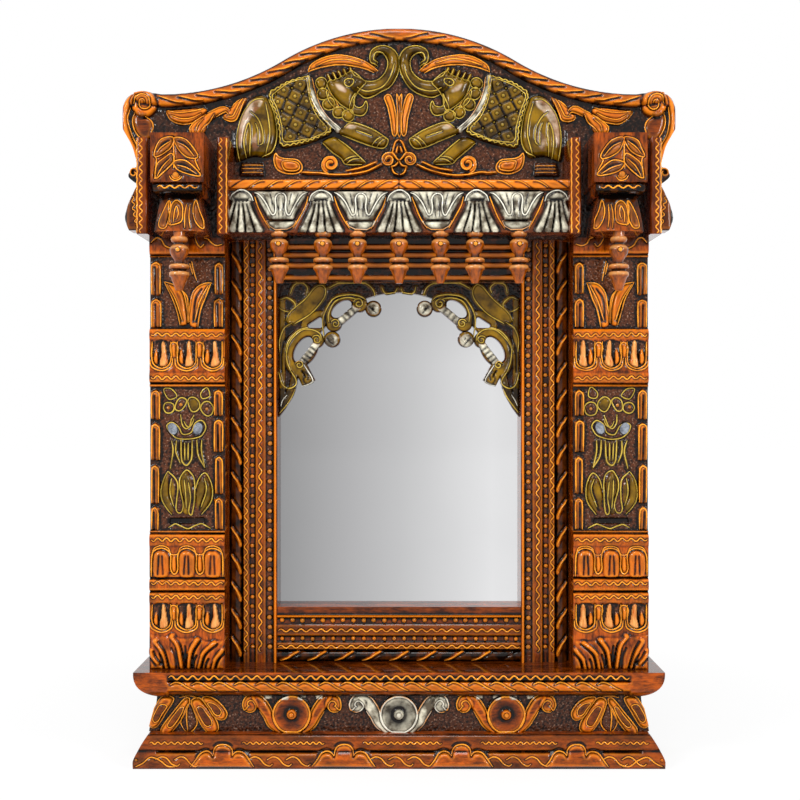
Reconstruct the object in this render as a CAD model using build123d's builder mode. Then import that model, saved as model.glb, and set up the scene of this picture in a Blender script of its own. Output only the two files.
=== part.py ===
from build123d import *
import os
from math import atan, cos, degrees, pi, radians, sin, sqrt

# A carved wooden wall mirror in the form of a palace window. A moulded base and sill carry two
# carved columns with bracket capitals, and these carry a cornice with turned drops and an
# arched crest board. A moulded inner frame holds the glass behind a pierced arch.
# Millimetres. X runs to the viewer's right and Z up from the floor of the plinth. The wall
# face is the plane Y = 0, the front faces -Y, and a "depth" is a distance forward of the wall.

os.makedirs("parts", exist_ok=True)

# Fits between the pieces
edge_gap = 0.2
hole_gap = 0.1

# Plinth, with a roll along its foot, a groove, and a bead up to its top
plinth_side_reach = 11.0
plinth_depth = 66.0
plinth_height = 27.0
plinth_toe = 4.5
plinth_roll_radius = 10.0
plinth_groove = 1.6
plinth_bead_reach = 3.4
plinth_bead_swell = 1.3

# Carved frieze between plinth and sill
frieze_height = 30.0
frieze_depth = 52.0
frieze_foot_inset = 5.0
frieze_top_inset = 11.5
frieze_flare_rise = 7.0
frieze_waist = 2.5
roundel_radius = 13.8
roundel_relief = 4.0
roundel_dish = 1.0
roundel_side_x = 93.0

# Sill, a wave band over a rope
sill_side_reach = 10.5
sill_depth = 64.0
sill_height = 21.0
sill_nose = 3.5
sill_undercut = 20.0
sill_rope_radius = 4.6

# Thickness of the stiles and rails at the back, which columns and crest are fixed to
back_thickness = 17.0

# Columns, and the heights of the bands carved on them
column_inner_x = 144.0
column_width = 62.0
column_depth = 50.0
column_recess = 3.6
acanthus_height = 31.0
small_petal_height = 22.8
lower_zigzag_height = 8.6
large_petal_height = 25.6
vase_panel_height = 120.6
upper_zigzag_height = 7.6
leaf_panel_height = 66.4
scroll_band_height = 7.0
groove_height = 3.2
petal_relief = 2.8
petal_gap = 0.8
petal_count = 3
petal_shoulder_share = 0.72
petal_tip_share = 0.45
carving_draft = 15.0

# Bead bars down the sides of the column panels, the sprig of leaves, and the vase
bead_bar_width = 8.4
bead_bar_inset = 1.0
bead_bar_relief = 2.6
bead_bar_gap = 1.6
vase_bar_count = 4
leaf_bar_count = 2
leaf_blade_width = 10.0
leaf_blade_length = 56.0
leaf_blade_turns = (-20.0, 0.0, 20.0)
leaf_stem_width = 7.0
leaf_stem_height = 5.0
vase_width = 41.0
vase_relief = 3.2
vase_foot_height = 6.0
vase_foot_rise = 7.0
vase_belly_sink = 1.5
vase_neck_width = 26.0
vase_neck_height = 35.0
vase_bowl_height = 22.0
vase_flower_width = 8.0
vase_flower_height = 9.0
vase_flower_shares = (-0.4, -0.13, 0.13, 0.4)
niche_width = 29.0
niche_height = 11.0
niche_sink = 7.0
niche_glass_thickness = 2.0

# Capitals: cheek boards, a corbel block and a lotus bulb on each column
capital_overhang = 6.0
capital_depth = 72.0
capital_height = 78.0
cheek_thickness = 9.0
cheek_edge_round = 2.0
corbel_width = 42.0
corbel_depth = 97.0
corbel_block_height = 39.0
corbel_chamfer = 2.5
corbel_roll_width = 35.0
corbel_roll_height = 9.0
corbel_roll_depth = 92.0
bulb_height = 29.0
bulb_top_width = 26.0
bulb_foot_width = 39.0
bulb_top_depth = 85.0
bulb_foot_depth = 93.0
bulb_swell = 2.6

# Crest board: ogee top, scrolled ends, and an ear at each side
crest_height = 176.0
crest_thickness = 18.0
crest_side_reach = 18.5
crest_ogee_run = 198.0
crest_ogee_drop = 55.0
crest_crown_share = 0.49
crest_scroll_drop = 29.0
crest_waist_drop = 30.0
crest_waist_inset = 11.7
crest_waist_draw = 2.4
crest_curl_height = 16.0
crest_curl_inset = 3.7
crest_ear_rise = 8.0
crest_ear_inset = 1.3
crest_ear_foot_inset = 4.5
crest_ear_swell_share = 0.35
scroll_radius = 12.0
scroll_drop = 10.0
scroll_relief = 3.6
scroll_channel = 3.0
crest_rope_width = 8.8
crest_rope_relief = 4.4

# Raised elephant on each side of the crest board. Its outline is given, from the hind foot
# over the back and the trunk, in shares of the board's half width and of its height.
elephant_relief = 6.0
elephant_shares = (
    (0.574, 0.31),
    (0.588, 0.52),
    (0.565, 0.64),
    (0.5, 0.7),
    (0.428, 0.77),
    (0.33, 0.79),
    (0.25, 0.82),
    (0.165, 0.8),
    (0.115, 0.78),
    (0.06, 0.82),
    (0.04, 0.89),
    (0.062, 0.93),
    (0.085, 0.89),
    (0.075, 0.85),
    (0.12, 0.84),
    (0.1, 0.93),
    (0.05, 0.96),
    (0.015, 0.91),
    (0.02, 0.8),
    (0.065, 0.725),
    (0.14, 0.69),
    (0.175, 0.61),
    (0.19, 0.56),
    (0.1, 0.54),
    (0.035, 0.52),
    (0.035, 0.45),
    (0.12, 0.44),
    (0.17, 0.42),
    (0.14, 0.4),
    (0.145, 0.35),
    (0.25, 0.38),
    (0.32, 0.42),
    (0.4, 0.41),
    (0.465, 0.39),
    (0.485, 0.31),
)

# Cornice beam with its lotus frieze, and the rope along its top
beam_rise = 3.0
beam_height = 35.0
beam_depth = 62.0
beam_recess = 3.2
beam_fillet = 2.4
lotus_pitch = 64.0
lotus_places = (-1.5, -0.5, 0.5, 1.5)
lotus_width = 38.0
lotus_height = 24.0
lotus_relief = 4.6
lotus_slope = 62.0
bell_places = (-1.0, 0.0, 1.0)
bell_width = 24.0
bell_height = 27.0
bell_slope = 80.0
cornice_rope_radius = 4.2

# Turned drops, as radii and heights down from the seat, in shares of the largest radius and
# of the length: a collar, a ball, a disc and a long cone, drawn with flat sides all round
drop_radius = 8.2
drop_length = 43.0
drop_depth = 53.0
capital_drop_depth = 84.0
drop_places = (-98.5, -62.5, -34.0, 0.0, 34.0, 62.5, 98.5)
drop_side_count = 12
drop_shares = (
    (0.81, 0.0),
    (0.81, 0.07),
    (0.54, 0.13),
    (0.9, 0.2),
    (0.93, 0.26),
    (0.78, 0.36),
    (0.42, 0.45),
    (0.98, 0.51),
    (0.98, 0.59),
    (0.7, 0.615),
    (1.0, 0.65),
    (1.0, 0.73),
    (0.8, 0.75),
    (0.38, 1.0),
)

# Ribbed soffit under the cornice
soffit_height = 34.0
soffit_top_depth = 42.0
soffit_foot_depth = 26.0
soffit_rib_radius = 2.6
soffit_rib_shares = (0.12, 0.32, 0.52, 0.72, 0.92)

# Inner frame. Its moulding is given from the outer edge inwards: a rope, a fillet, a beaded
# groove, a second fillet, a studded groove and an arris, with a rebate behind for the glass.
frame_inner_x = 103.0
frame_rope_edge_depth = 14.0
frame_rope_swell = 4.6
frame_rope_foot_depth = 18.0
frame_rope_width = 11.4
frame_fillet_width = 6.0
frame_bead_groove_width = 6.0
frame_second_fillet_width = 7.6
frame_stud_groove_width = 7.2
frame_front_depth = 24.0
frame_groove = 1.8
frame_arris_rise = 1.6
frame_arris_width = 1.4
frame_lip_depth = 13.0
frame_rail_slope = 6.0
rebate_width = 8.0
rebate_depth = 9.0

# Glass, the board behind it, and the flat points that hold both in
glass_thickness = 3.0
backing_thickness = 3.0
glass_clearance = 0.5
point_thickness = 0.8
point_width = 6.0
point_length = 12.0
point_height_shares = (0.15, 0.5, 0.85)

# Pierced arch in front of the glass. Places are shares of its half width and of its height.
arch_height = 116.0
arch_thickness = 6.5
arch_back_gap = 0.3
arch_span_share = 0.875
arch_crown_share = 0.93
arch_spring_share = 0.05
arch_ring_stroke = 5.0
arch_ring_half_lengths = (12.0, 10.0)
arch_ring_half_widths = (6.6, 5.6)
arch_ring_turns = (-58.0, -38.0)
arch_ring_shares = ((0.796, 0.51), (0.478, 0.809))
arch_curl_radius = 7.0
arch_curl_shares = ((0.689, 0.579), (0.329, 0.845), (0.541, 0.701))
arch_knob_radius = 7.0
arch_knob_shares = ((0.555, 0.585), (0.213, 0.81))
arch_tab_share = (0.785, 0.325)
arch_tab_width = 12.0
arch_tab_height = 17.0
arch_tab_turn = -27.0
arch_gap_radius = 4.4
arch_gap_share = (0.67, 0.725)

# Back stiles, the hanging rail, and the rings that the mirror hangs by
back_stile_rise = 66.0
rail_rise = 21.0
rail_height = 40.0
rail_set_back = 6.0
hanger_x = 100.0
hanger_rise = 22.0
hanger_axis_depth = 3.4
ring_wire = 1.7
ring_inner_radius = 8.0
ring_leg = 5.0
strap_thickness = 1.0
strap_width = 10.0
strap_length = 10.0
strap_play = 0.08
tack_width = 2.2
tack_length = 9.0
tack_head_width = 4.8
tack_head_height = 1.0

# Cut nails through the back stiles into the columns, and loose tenons under the columns
nail_width = 3.0
nail_length = 34.0
nail_head_width = 6.4
nail_head_height = 1.2
nail_height_shares = (0.1, 0.5, 0.9)
tenon_width = 30.0
tenon_thickness = 8.0
tenon_in_frieze = 12.0
tenon_in_column = 14.0
tenon_end_gap = 0.5

# Heights and places worked out from the sizes above
frieze_top = plinth_height + frieze_height
frieze_middle = plinth_height + frieze_height / 2
sill_top = frieze_top + sill_height

column_plan = (
    ("band", 0, acanthus_height),
    ("hanging petals", 0, small_petal_height),
    ("band", 0, lower_zigzag_height),
    ("band", groove_height, lower_zigzag_height),
    ("standing petals", 0, large_petal_height),
    ("band", 0, lower_zigzag_height),
    ("vase", groove_height, vase_panel_height),
    ("band", groove_height, upper_zigzag_height),
    ("hanging petals", 0, large_petal_height),
    ("band", 0, upper_zigzag_height),
    ("leaves", groove_height, leaf_panel_height),
    ("band", groove_height, scroll_band_height),
)
column_height = sum(gap + height for kind, gap, height in column_plan)
column_top = sill_top + column_height
column_centre_x = column_inner_x + column_width / 2
column_outer_x = column_inner_x + column_width
plinth_half_width = column_outer_x + plinth_side_reach
frieze_foot_half_width = column_outer_x - frieze_foot_inset
frieze_top_half_width = column_outer_x - frieze_top_inset
sill_half_width = column_outer_x + sill_side_reach
panel_depth = column_depth - column_recess

crest_front = back_thickness + crest_thickness
crest_top = column_top + crest_height
crest_shoulder = crest_top - crest_ogee_drop
capital_inner_x = column_inner_x - capital_overhang
capital_outer_x = column_outer_x + capital_overhang
crest_half_width = capital_outer_x + crest_side_reach
crest_waist_half_width = crest_half_width - crest_waist_inset
crest_curl_half_width = crest_half_width - crest_curl_inset
crest_ear_half_width = crest_half_width - crest_ear_inset
crest_ear_foot_half_width = crest_half_width - crest_ear_foot_inset
beam_bottom = column_top + beam_rise
beam_top = beam_bottom + beam_height
soffit_bottom = column_top - soffit_height
stile_height = soffit_bottom - sill_top
rail_bottom = column_top + rail_rise
hanger_z = rail_bottom + hanger_rise

frame_moulding_width = column_inner_x - frame_inner_x
frame_rail_width = frame_moulding_width + frame_rail_slope
opening_bottom = sill_top + frame_rail_width
glass_half_width = frame_inner_x + rebate_width - glass_clearance
glass_bottom = opening_bottom - rebate_width + glass_clearance
glass_top = soffit_bottom + rebate_width - glass_clearance
backing_front = rebate_depth - glass_thickness
backing_back = backing_front - backing_thickness


def facing(depth):
    """A plane parallel to the wall that looks out of the front: local x is X, local y is Z."""
    return Plane.XZ.offset(depth)


def section():
    """The middle cross section: local x is the depth from the wall, local y is Z."""
    return Plane(origin=(0, 0, 0), x_dir=(0, -1, 0), z_dir=(-1, 0, 0))


def keep(builder, node):
    """Labels a finished piece and writes it out."""
    builder.part.label = node
    export_step(builder.part, f"parts/{node}.step")


def keep_pair(builder, node):
    """Keeps a piece made on the right, and its mirror image on the left."""
    keep(builder, f"{node}_right")
    with BuildPart() as opposite:
        mirror(builder.part, about=Plane.YZ)
    keep(opposite, f"{node}_left")


# Plinth

def plinth_edge(reach):
    """The moulded edge of the plinth, from its floor up to its top, drawn out to a reach."""
    roll_top = plinth_toe + plinth_roll_radius
    roll_reach = reach - plinth_roll_radius
    roll_middle = plinth_roll_radius / sqrt(2)
    neck_reach = roll_reach - plinth_groove
    bead_foot = roll_top + plinth_groove
    top_reach = neck_reach - plinth_bead_reach
    swell_reach = (neck_reach + top_reach) / 2 + plinth_bead_swell
    Polyline((0, 0), (reach, 0), (reach, plinth_toe))
    ThreePointArc(
        (reach, plinth_toe),
        (roll_reach + roll_middle, plinth_toe + roll_middle),
        (roll_reach, roll_top),
    )
    Polyline((roll_reach, roll_top), (neck_reach, roll_top), (neck_reach, bead_foot))
    ThreePointArc(
        (neck_reach, bead_foot),
        (swell_reach, (bead_foot + plinth_height) / 2),
        (top_reach, plinth_height),
    )
    Line((top_reach, plinth_height), (0, plinth_height))


with BuildPart() as plinth:
    with BuildSketch(facing(0)):
        with BuildLine():
            plinth_edge(plinth_half_width)
            mirror(about=Plane.YZ)
        make_face()
    extrude(amount=plinth_depth)
    with BuildSketch(section()):
        with BuildLine():
            plinth_edge(plinth_depth)
            Line((0, plinth_height), (0, 0))
        make_face()
    extrude(amount=plinth_half_width, both=True, mode=Mode.INTERSECT)
keep(plinth, "plinth")


# Frieze

def roundel_profile():
    """Half the section of a dished roundel, drawn from its axis."""
    Polyline(
        (0, 0),
        (roundel_radius, 0),
        (roundel_radius, -roundel_relief),
        (0, -roundel_dish),
        close=True,
    )


with BuildPart() as frieze:
    flare_z = plinth_height + frieze_flare_rise
    waist_x = (column_outer_x + frieze_top_half_width) / 2 - frieze_waist
    with BuildSketch(facing(0)):
        with BuildLine():
            Polyline(
                (0, plinth_height),
                (frieze_foot_half_width, plinth_height),
                (column_outer_x, flare_z),
            )
            ThreePointArc(
                (column_outer_x, flare_z),
                (waist_x, (flare_z + frieze_top) / 2),
                (frieze_top_half_width, frieze_top),
            )
            Line((frieze_top_half_width, frieze_top), (0, frieze_top))
            mirror(about=Plane.YZ)
        make_face()
    extrude(amount=frieze_depth)
    for centre_x in (-roundel_side_x, 0, roundel_side_x):
        centre = (centre_x, -frieze_depth, frieze_middle)
        with BuildSketch(Plane(origin=centre, x_dir=(1, 0, 0), z_dir=(0, 0, 1))):
            with BuildLine():
                roundel_profile()
            make_face()
        revolve(axis=Axis(centre, (0, 1, 0)))
    with BuildSketch(Plane.XY.offset(frieze_top)):
        with Locations((column_centre_x, -column_depth / 2), (-column_centre_x, -column_depth / 2)):
            Rectangle(tenon_width + 2 * hole_gap, tenon_thickness + 2 * hole_gap)
    extrude(amount=-tenon_in_frieze - tenon_end_gap, mode=Mode.SUBTRACT)
keep(frieze, "frieze")


# Sill

with BuildPart() as sill:
    nose_bottom = sill_top - sill_nose
    nose_inner = sill_half_width - sill_undercut
    fascia_bottom = frieze_top + 2 * sill_rope_radius
    rope_depth = sill_depth - sill_rope_radius
    with BuildSketch(facing(0)):
        with BuildLine():
            Line((0, frieze_top), (nose_inner, frieze_top))
            ThreePointArc(
                (nose_inner, frieze_top),
                (
                    nose_inner + sill_undercut / sqrt(2),
                    nose_bottom - (nose_bottom - frieze_top) / sqrt(2),
                ),
                (sill_half_width, nose_bottom),
            )
            Polyline(
                (sill_half_width, nose_bottom),
                (sill_half_width, sill_top),
                (0, sill_top),
            )
            mirror(about=Plane.YZ)
        make_face()
    extrude(amount=sill_depth)
    with BuildSketch(section()):
        with Locations((0, fascia_bottom)):
            Rectangle(sill_depth, sill_top - fascia_bottom, align=Align.MIN)
        with Locations((0, frieze_top)):
            Rectangle(rope_depth, 2 * sill_rope_radius, align=Align.MIN)
        with Locations((rope_depth, frieze_top + sill_rope_radius)):
            Circle(sill_rope_radius)
    extrude(amount=sill_half_width, both=True, mode=Mode.INTERSECT)
    with BuildSketch(Plane.XY.offset(frieze_top)):
        with Locations((column_centre_x, -column_depth / 2), (-column_centre_x, -column_depth / 2)):
            Rectangle(tenon_width + 2 * hole_gap, tenon_thickness + 2 * hole_gap)
    extrude(amount=sill_height, mode=Mode.SUBTRACT)
keep(sill, "sill")

with BuildPart() as loose_tenon:
    with BuildSketch(Plane.XY.offset(frieze_top - tenon_in_frieze)):
        with Locations((column_centre_x, -column_depth / 2)):
            Rectangle(tenon_width, tenon_thickness)
    extrude(amount=tenon_in_frieze + sill_height + tenon_in_column)
keep_pair(loose_tenon, "loose_tenon")


# Columns

def petal_row(bottom, height, standing):
    """A row of petals across a column, with their tips down, or up where they stand."""
    pitch = column_width / petal_count
    half_width = (pitch - petal_gap) / 2
    direction = 1 if standing else -1
    root_z = bottom if standing else bottom + height
    shoulder_z = root_z + direction * petal_shoulder_share * height
    tip_z = root_z + direction * height
    for place in range(petal_count):
        middle = column_inner_x + pitch * (place + 0.5)
        Polygon(
            (middle - half_width, root_z),
            (middle - half_width, shoulder_z),
            (middle - half_width * petal_tip_share, tip_z),
            (middle + half_width * petal_tip_share, tip_z),
            (middle + half_width, shoulder_z),
            (middle + half_width, root_z),
            align=None,
        )


def bead_bars(bottom, height, count):
    """Two files of upright bead bars, one down each side of a column panel."""
    pitch = height / count
    reach = column_width / 2 - bead_bar_inset - bead_bar_width / 2
    for bar_x in (column_centre_x - reach, column_centre_x + reach):
        for place in range(count):
            with Locations((bar_x, bottom + pitch * (place + 0.5))):
                Rectangle(bead_bar_width, pitch - bead_bar_gap)


def vase_outline(bottom):
    """A vase on a foot, with a round belly, a waisted neck and a wide bowl; gives the bowl's z."""
    foot_z = bottom + vase_foot_rise
    belly_z = foot_z + vase_foot_height + vase_width / 2 - vase_belly_sink
    neck_z = belly_z + vase_width / 2
    bowl_z = neck_z + vase_neck_height
    rim_z = bowl_z + vase_bowl_height / 2
    with Locations((column_centre_x, foot_z)):
        Rectangle(vase_width, vase_foot_height, align=(Align.CENTER, Align.MIN))
    with Locations((column_centre_x, belly_z)):
        Circle(vase_width / 2)
    with Locations((column_centre_x, belly_z)):
        Rectangle(vase_neck_width, bowl_z - belly_z, align=(Align.CENTER, Align.MIN))
    with Locations((column_centre_x, bowl_z)):
        Rectangle(vase_width, vase_bowl_height)
    for share in vase_flower_shares:
        with Locations((column_centre_x + share * vase_width, rim_z)):
            Rectangle(vase_flower_width, vase_flower_height, align=(Align.CENTER, Align.MIN))
    return bowl_z


leaf_blade = (
    (0, 0),
    (leaf_blade_width / 2, leaf_blade_length / 2),
    (0, leaf_blade_length),
    (-leaf_blade_width / 2, leaf_blade_length / 2),
)

with BuildPart() as column:
    with BuildSketch(Plane.XY.offset(sill_top)):
        with Locations((column_centre_x, -(back_thickness + panel_depth) / 2)):
            Rectangle(column_width, panel_depth - back_thickness)
    extrude(amount=column_height)
    band_places = []
    band_bottom = sill_top
    for kind, gap, height in column_plan:
        band_bottom += gap
        band_places.append((kind, band_bottom, height))
        band_bottom += height
    with BuildSketch(facing(panel_depth)):
        for kind, bottom, height in band_places:
            if kind == "band":
                with Locations((column_centre_x, bottom + height / 2)):
                    Rectangle(column_width, height)
    extrude(amount=column_recess)
    with BuildSketch(facing(panel_depth)):
        for kind, bottom, height in band_places:
            if kind == "hanging petals":
                petal_row(bottom, height, standing=False)
            if kind == "standing petals":
                petal_row(bottom, height, standing=True)
    extrude(amount=petal_relief)
    with BuildSketch(facing(panel_depth)):
        for kind, bottom, height in band_places:
            if kind == "vase":
                bead_bars(bottom, height, vase_bar_count)
            if kind == "leaves":
                bead_bars(bottom, height, leaf_bar_count)
    extrude(amount=bead_bar_relief)
    with BuildSketch(facing(panel_depth)):
        for kind, bottom, height in band_places:
            if kind == "vase":
                niche_z = vase_outline(bottom)
            if kind == "leaves":
                with Locations((column_centre_x, bottom)):
                    for turn in leaf_blade_turns:
                        with Locations(Rotation(0, 0, turn)):
                            Polygon(*leaf_blade, align=None)
                    Rectangle(leaf_stem_width, leaf_stem_height)
    extrude(amount=vase_relief)
    with BuildSketch(facing(column_depth)):
        with Locations((column_centre_x, niche_z)):
            SlotOverall(niche_width, niche_height)
    extrude(amount=-niche_sink, mode=Mode.SUBTRACT)
    with BuildSketch(Plane.XY.offset(sill_top)):
        with Locations((column_centre_x, -column_depth / 2)):
            Rectangle(tenon_width + 2 * hole_gap, tenon_thickness + 2 * hole_gap)
    extrude(amount=tenon_in_column + tenon_end_gap, mode=Mode.SUBTRACT)
    with BuildSketch(facing(back_thickness)):
        for share in nail_height_shares:
            with Locations((column_centre_x, sill_top + share * column_height)):
                Rectangle(nail_width + 2 * hole_gap, nail_width + 2 * hole_gap)
    extrude(amount=nail_length - back_thickness + hole_gap, mode=Mode.SUBTRACT)
keep_pair(column, "column")

with BuildPart() as niche_mirror:
    with BuildSketch(facing(column_depth - niche_sink)):
        with Locations((column_centre_x, niche_z)):
            SlotOverall(niche_width - 2 * edge_gap, niche_height - 2 * edge_gap)
    extrude(amount=niche_glass_thickness)
keep_pair(niche_mirror, "niche_mirror")


# Capitals

for name, inner_x in (
    ("inner", capital_inner_x),
    ("outer", capital_outer_x - cheek_thickness),
):
    with BuildPart() as cheek:
        with BuildSketch(Plane.XY.offset(column_top)):
            with Locations((inner_x, -capital_depth)):
                Rectangle(cheek_thickness, capital_depth - crest_front, align=Align.MIN)
        extrude(amount=capital_height)
        front_edges = cheek.edges().filter_by(Axis.Z).sort_by(Axis.Y)[:2]
        fillet(front_edges, cheek_edge_round)
    keep_pair(cheek, f"capital_cheek_{name}")

with BuildPart() as corbel_block:
    block_bottom = column_top + bulb_height + corbel_roll_height
    with BuildSketch(Plane.XY.offset(block_bottom)):
        with Locations((column_centre_x, -crest_front)):
            Rectangle(corbel_width, corbel_depth - crest_front, align=(Align.CENTER, Align.MAX))
    extrude(amount=corbel_block_height)
    front_edges = corbel_block.faces().sort_by(Axis.Y)[0].edges()
    chamfer(front_edges, corbel_chamfer)
keep_pair(corbel_block, "corbel_block")

with BuildPart() as corbel_bulb:
    bulb_top = column_top + bulb_height
    roll_radius = corbel_roll_height / 2
    with BuildSketch(facing(crest_front)):
        with BuildLine():
            top_x = column_centre_x + bulb_top_width / 2
            foot_x = column_centre_x + bulb_foot_width / 2
            swell_x = (top_x + foot_x) / 2 + bulb_swell
            middle_z = column_top + bulb_height / 2
            Line((column_centre_x, column_top), (foot_x, column_top))
            ThreePointArc((foot_x, column_top), (swell_x, middle_z), (top_x, bulb_top))
            Line((top_x, bulb_top), (column_centre_x, bulb_top))
            mirror(about=Plane(origin=(column_centre_x, 0, 0), x_dir=(0, 1, 0), z_dir=(1, 0, 0)))
        make_face()
    extrude(amount=bulb_foot_depth + bulb_swell - crest_front)
    with BuildSketch(section()):
        with BuildLine():
            swell_depth = (bulb_top_depth + bulb_foot_depth) / 2 + bulb_swell
            Polyline(
                (bulb_top_depth, bulb_top),
                (crest_front, bulb_top),
                (crest_front, column_top),
                (bulb_foot_depth, column_top),
            )
            ThreePointArc(
                (bulb_foot_depth, column_top),
                (swell_depth, middle_z),
                (bulb_top_depth, bulb_top),
            )
        make_face()
    extrude(amount=capital_outer_x, both=True, mode=Mode.INTERSECT)
    with BuildSketch(Plane.YZ.offset(column_centre_x - corbel_roll_width / 2)):
        with Locations((-crest_front, bulb_top)):
            Rectangle(
                corbel_roll_depth - roll_radius - crest_front,
                corbel_roll_height,
                align=(Align.MAX, Align.MIN),
            )
        with Locations((roll_radius - corbel_roll_depth, bulb_top + roll_radius)):
            Circle(roll_radius)
    extrude(amount=corbel_roll_width)
keep_pair(corbel_bulb, "corbel_bulb")


# Crest board

crest_turn = 2 * atan(crest_ogee_drop / crest_ogee_run)
ogee_radii = crest_ogee_run / sin(crest_turn)
crown_radius = crest_crown_share * ogee_radii
crown_end = (
    crown_radius * sin(crest_turn),
    crest_top - crown_radius * (1 - cos(crest_turn)),
)
scroll_x = crest_half_width - scroll_radius
scroll_z = crest_shoulder - scroll_drop
waist_top = crest_shoulder - crest_scroll_drop
curl_top = waist_top - crest_waist_drop
ear_top = curl_top - crest_curl_height
ear_bottom = column_top + crest_ear_rise


def crest_outline():
    """The right half of the crest board's edge, from the middle of its top round to its foot."""
    crown = TangentArc((0, crest_top), crown_end, tangent=(1, 0))
    fall = TangentArc(crown_end, (crest_ogee_run, crest_shoulder), tangent=crown % 1)
    Polyline(fall @ 1, (scroll_x, crest_shoulder), (crest_half_width, waist_top))
    waist_x = (crest_half_width + crest_waist_half_width) / 2 - crest_waist_draw
    ThreePointArc(
        (crest_half_width, waist_top),
        (waist_x, (waist_top + curl_top) / 2),
        (crest_waist_half_width, curl_top),
    )
    ThreePointArc(
        (crest_waist_half_width, curl_top),
        (crest_curl_half_width, (curl_top + ear_top) / 2),
        (crest_waist_half_width, ear_top),
    )
    ThreePointArc(
        (crest_waist_half_width, ear_top),
        (crest_ear_half_width, ear_bottom + crest_ear_swell_share * (ear_top - ear_bottom)),
        (crest_ear_foot_half_width, ear_bottom),
    )
    Polyline(
        (crest_ear_foot_half_width, ear_bottom),
        (capital_outer_x, ear_bottom),
        (capital_outer_x, column_top),
        (0, column_top),
    )


crown_inner_end = (
    (crown_radius - crest_rope_width) * sin(crest_turn),
    crest_top - crown_radius + (crown_radius - crest_rope_width) * cos(crest_turn),
)

with BuildPart() as crest_board:
    with BuildSketch(facing(back_thickness)):
        with BuildLine():
            crest_outline()
            mirror(about=Plane.YZ)
        make_face()
        with Locations((scroll_x, scroll_z), (-scroll_x, scroll_z)):
            Circle(scroll_radius)
    extrude(amount=crest_thickness)
    with BuildSketch(facing(crest_front)):
        with BuildLine():
            inner_foot = (crest_ogee_run, crest_shoulder - crest_rope_width)
            crown = TangentArc((0, crest_top), crown_end, tangent=(1, 0))
            fall = TangentArc(crown_end, (crest_ogee_run, crest_shoulder), tangent=crown % 1)
            inner_crown = TangentArc(
                (0, crest_top - crest_rope_width), crown_inner_end, tangent=(1, 0)
            )
            TangentArc(crown_inner_end, inner_foot, tangent=inner_crown % 1)
            Line(fall @ 1, inner_foot)
            mirror(about=Plane.YZ)
        make_face()
    extrude(amount=crest_rope_relief)
    with BuildSketch(facing(crest_front)):
        for side in (-1, 1):
            Polygon(
                *(
                    (side * across * crest_half_width, column_top + up * crest_height)
                    for across, up in elephant_shares
                ),
                align=None,
            )
    extrude(amount=elephant_relief)
    with BuildSketch(facing(crest_front)):
        with Locations((scroll_x, scroll_z), (-scroll_x, scroll_z)):
            Circle(scroll_radius - scroll_channel)
    extrude(amount=scroll_relief)
keep(crest_board, "crest_board")


# Cornice

with BuildPart() as cornice_beam:
    beam_face = beam_depth - beam_recess
    with BuildSketch(section()):
        with BuildLine():
            Polyline(
                (crest_front, beam_bottom),
                (beam_depth, beam_bottom),
                (beam_depth, beam_bottom + beam_fillet),
                (beam_face, beam_bottom + beam_fillet + beam_recess),
                (beam_face, beam_top - beam_fillet),
                (beam_depth, beam_top - beam_fillet),
                (beam_depth, beam_top),
                (crest_front, beam_top),
                close=True,
            )
        make_face()
    extrude(amount=capital_inner_x, both=True)
    carving_top = beam_top - beam_fillet
    with BuildSketch(facing(beam_face)):
        for place in lotus_places:
            with Locations((place * lotus_pitch, carving_top)):
                Trapezoid(
                    lotus_width,
                    lotus_height,
                    lotus_slope,
                    rotation=180,
                    align=(Align.CENTER, Align.MIN),
                )
        for place in bell_places:
            with Locations((place * lotus_pitch, carving_top - bell_height)):
                Trapezoid(bell_width, bell_height, bell_slope, align=(Align.CENTER, Align.MIN))
    extrude(amount=lotus_relief, taper=carving_draft)
keep(cornice_beam, "cornice_beam")

with BuildPart() as cornice_rope:
    rope_depth = beam_depth - cornice_rope_radius
    with BuildSketch(section()):
        with Locations((crest_front, beam_top)):
            Rectangle(rope_depth - crest_front, 2 * cornice_rope_radius, align=Align.MIN)
        with Locations((rope_depth, beam_top + cornice_rope_radius)):
            Circle(cornice_rope_radius)
    extrude(amount=capital_inner_x, both=True)
keep(cornice_rope, "cornice_rope")


# Turned drops

drop_flat_share = cos(pi / drop_side_count)

with BuildPart() as drop:
    for (across, down), (next_across, next_down) in zip(drop_shares, drop_shares[1:]):
        step = (next_down - down) * drop_length
        narrowing = (across - next_across) * drop_radius * drop_flat_share
        with BuildSketch(Plane.XY.offset(-down * drop_length)):
            RegularPolygon(across * drop_radius, drop_side_count)
        extrude(amount=-step, taper=degrees(atan(narrowing / step)))

with BuildPart() as turned_drops:
    with Locations(*((drop_x, -drop_depth, beam_bottom) for drop_x in drop_places)):
        add(drop.part)
    for side in (-1, 1):
        with Locations((side * column_centre_x, -capital_drop_depth, column_top)):
            add(drop.part)
keep(turned_drops, "turned_drops")

with BuildPart() as soffit:
    slope_run = soffit_top_depth - soffit_foot_depth
    with BuildSketch(section()):
        with BuildLine():
            Polyline(
                (back_thickness, soffit_bottom),
                (soffit_foot_depth, soffit_bottom),
                (soffit_top_depth, column_top),
                (back_thickness, column_top),
                close=True,
            )
        make_face()
        for share in soffit_rib_shares:
            with Locations((soffit_foot_depth + share * slope_run, soffit_bottom + share * soffit_height)):
                Circle(soffit_rib_radius)
        with Locations((back_thickness, soffit_bottom)):
            Rectangle(
                soffit_top_depth + soffit_rib_radius - back_thickness,
                soffit_height,
                align=Align.MIN,
                mode=Mode.INTERSECT,
            )
    extrude(amount=column_inner_x - edge_gap, both=True)
keep(soffit, "soffit")


# Inner frame, glass and backing

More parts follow.
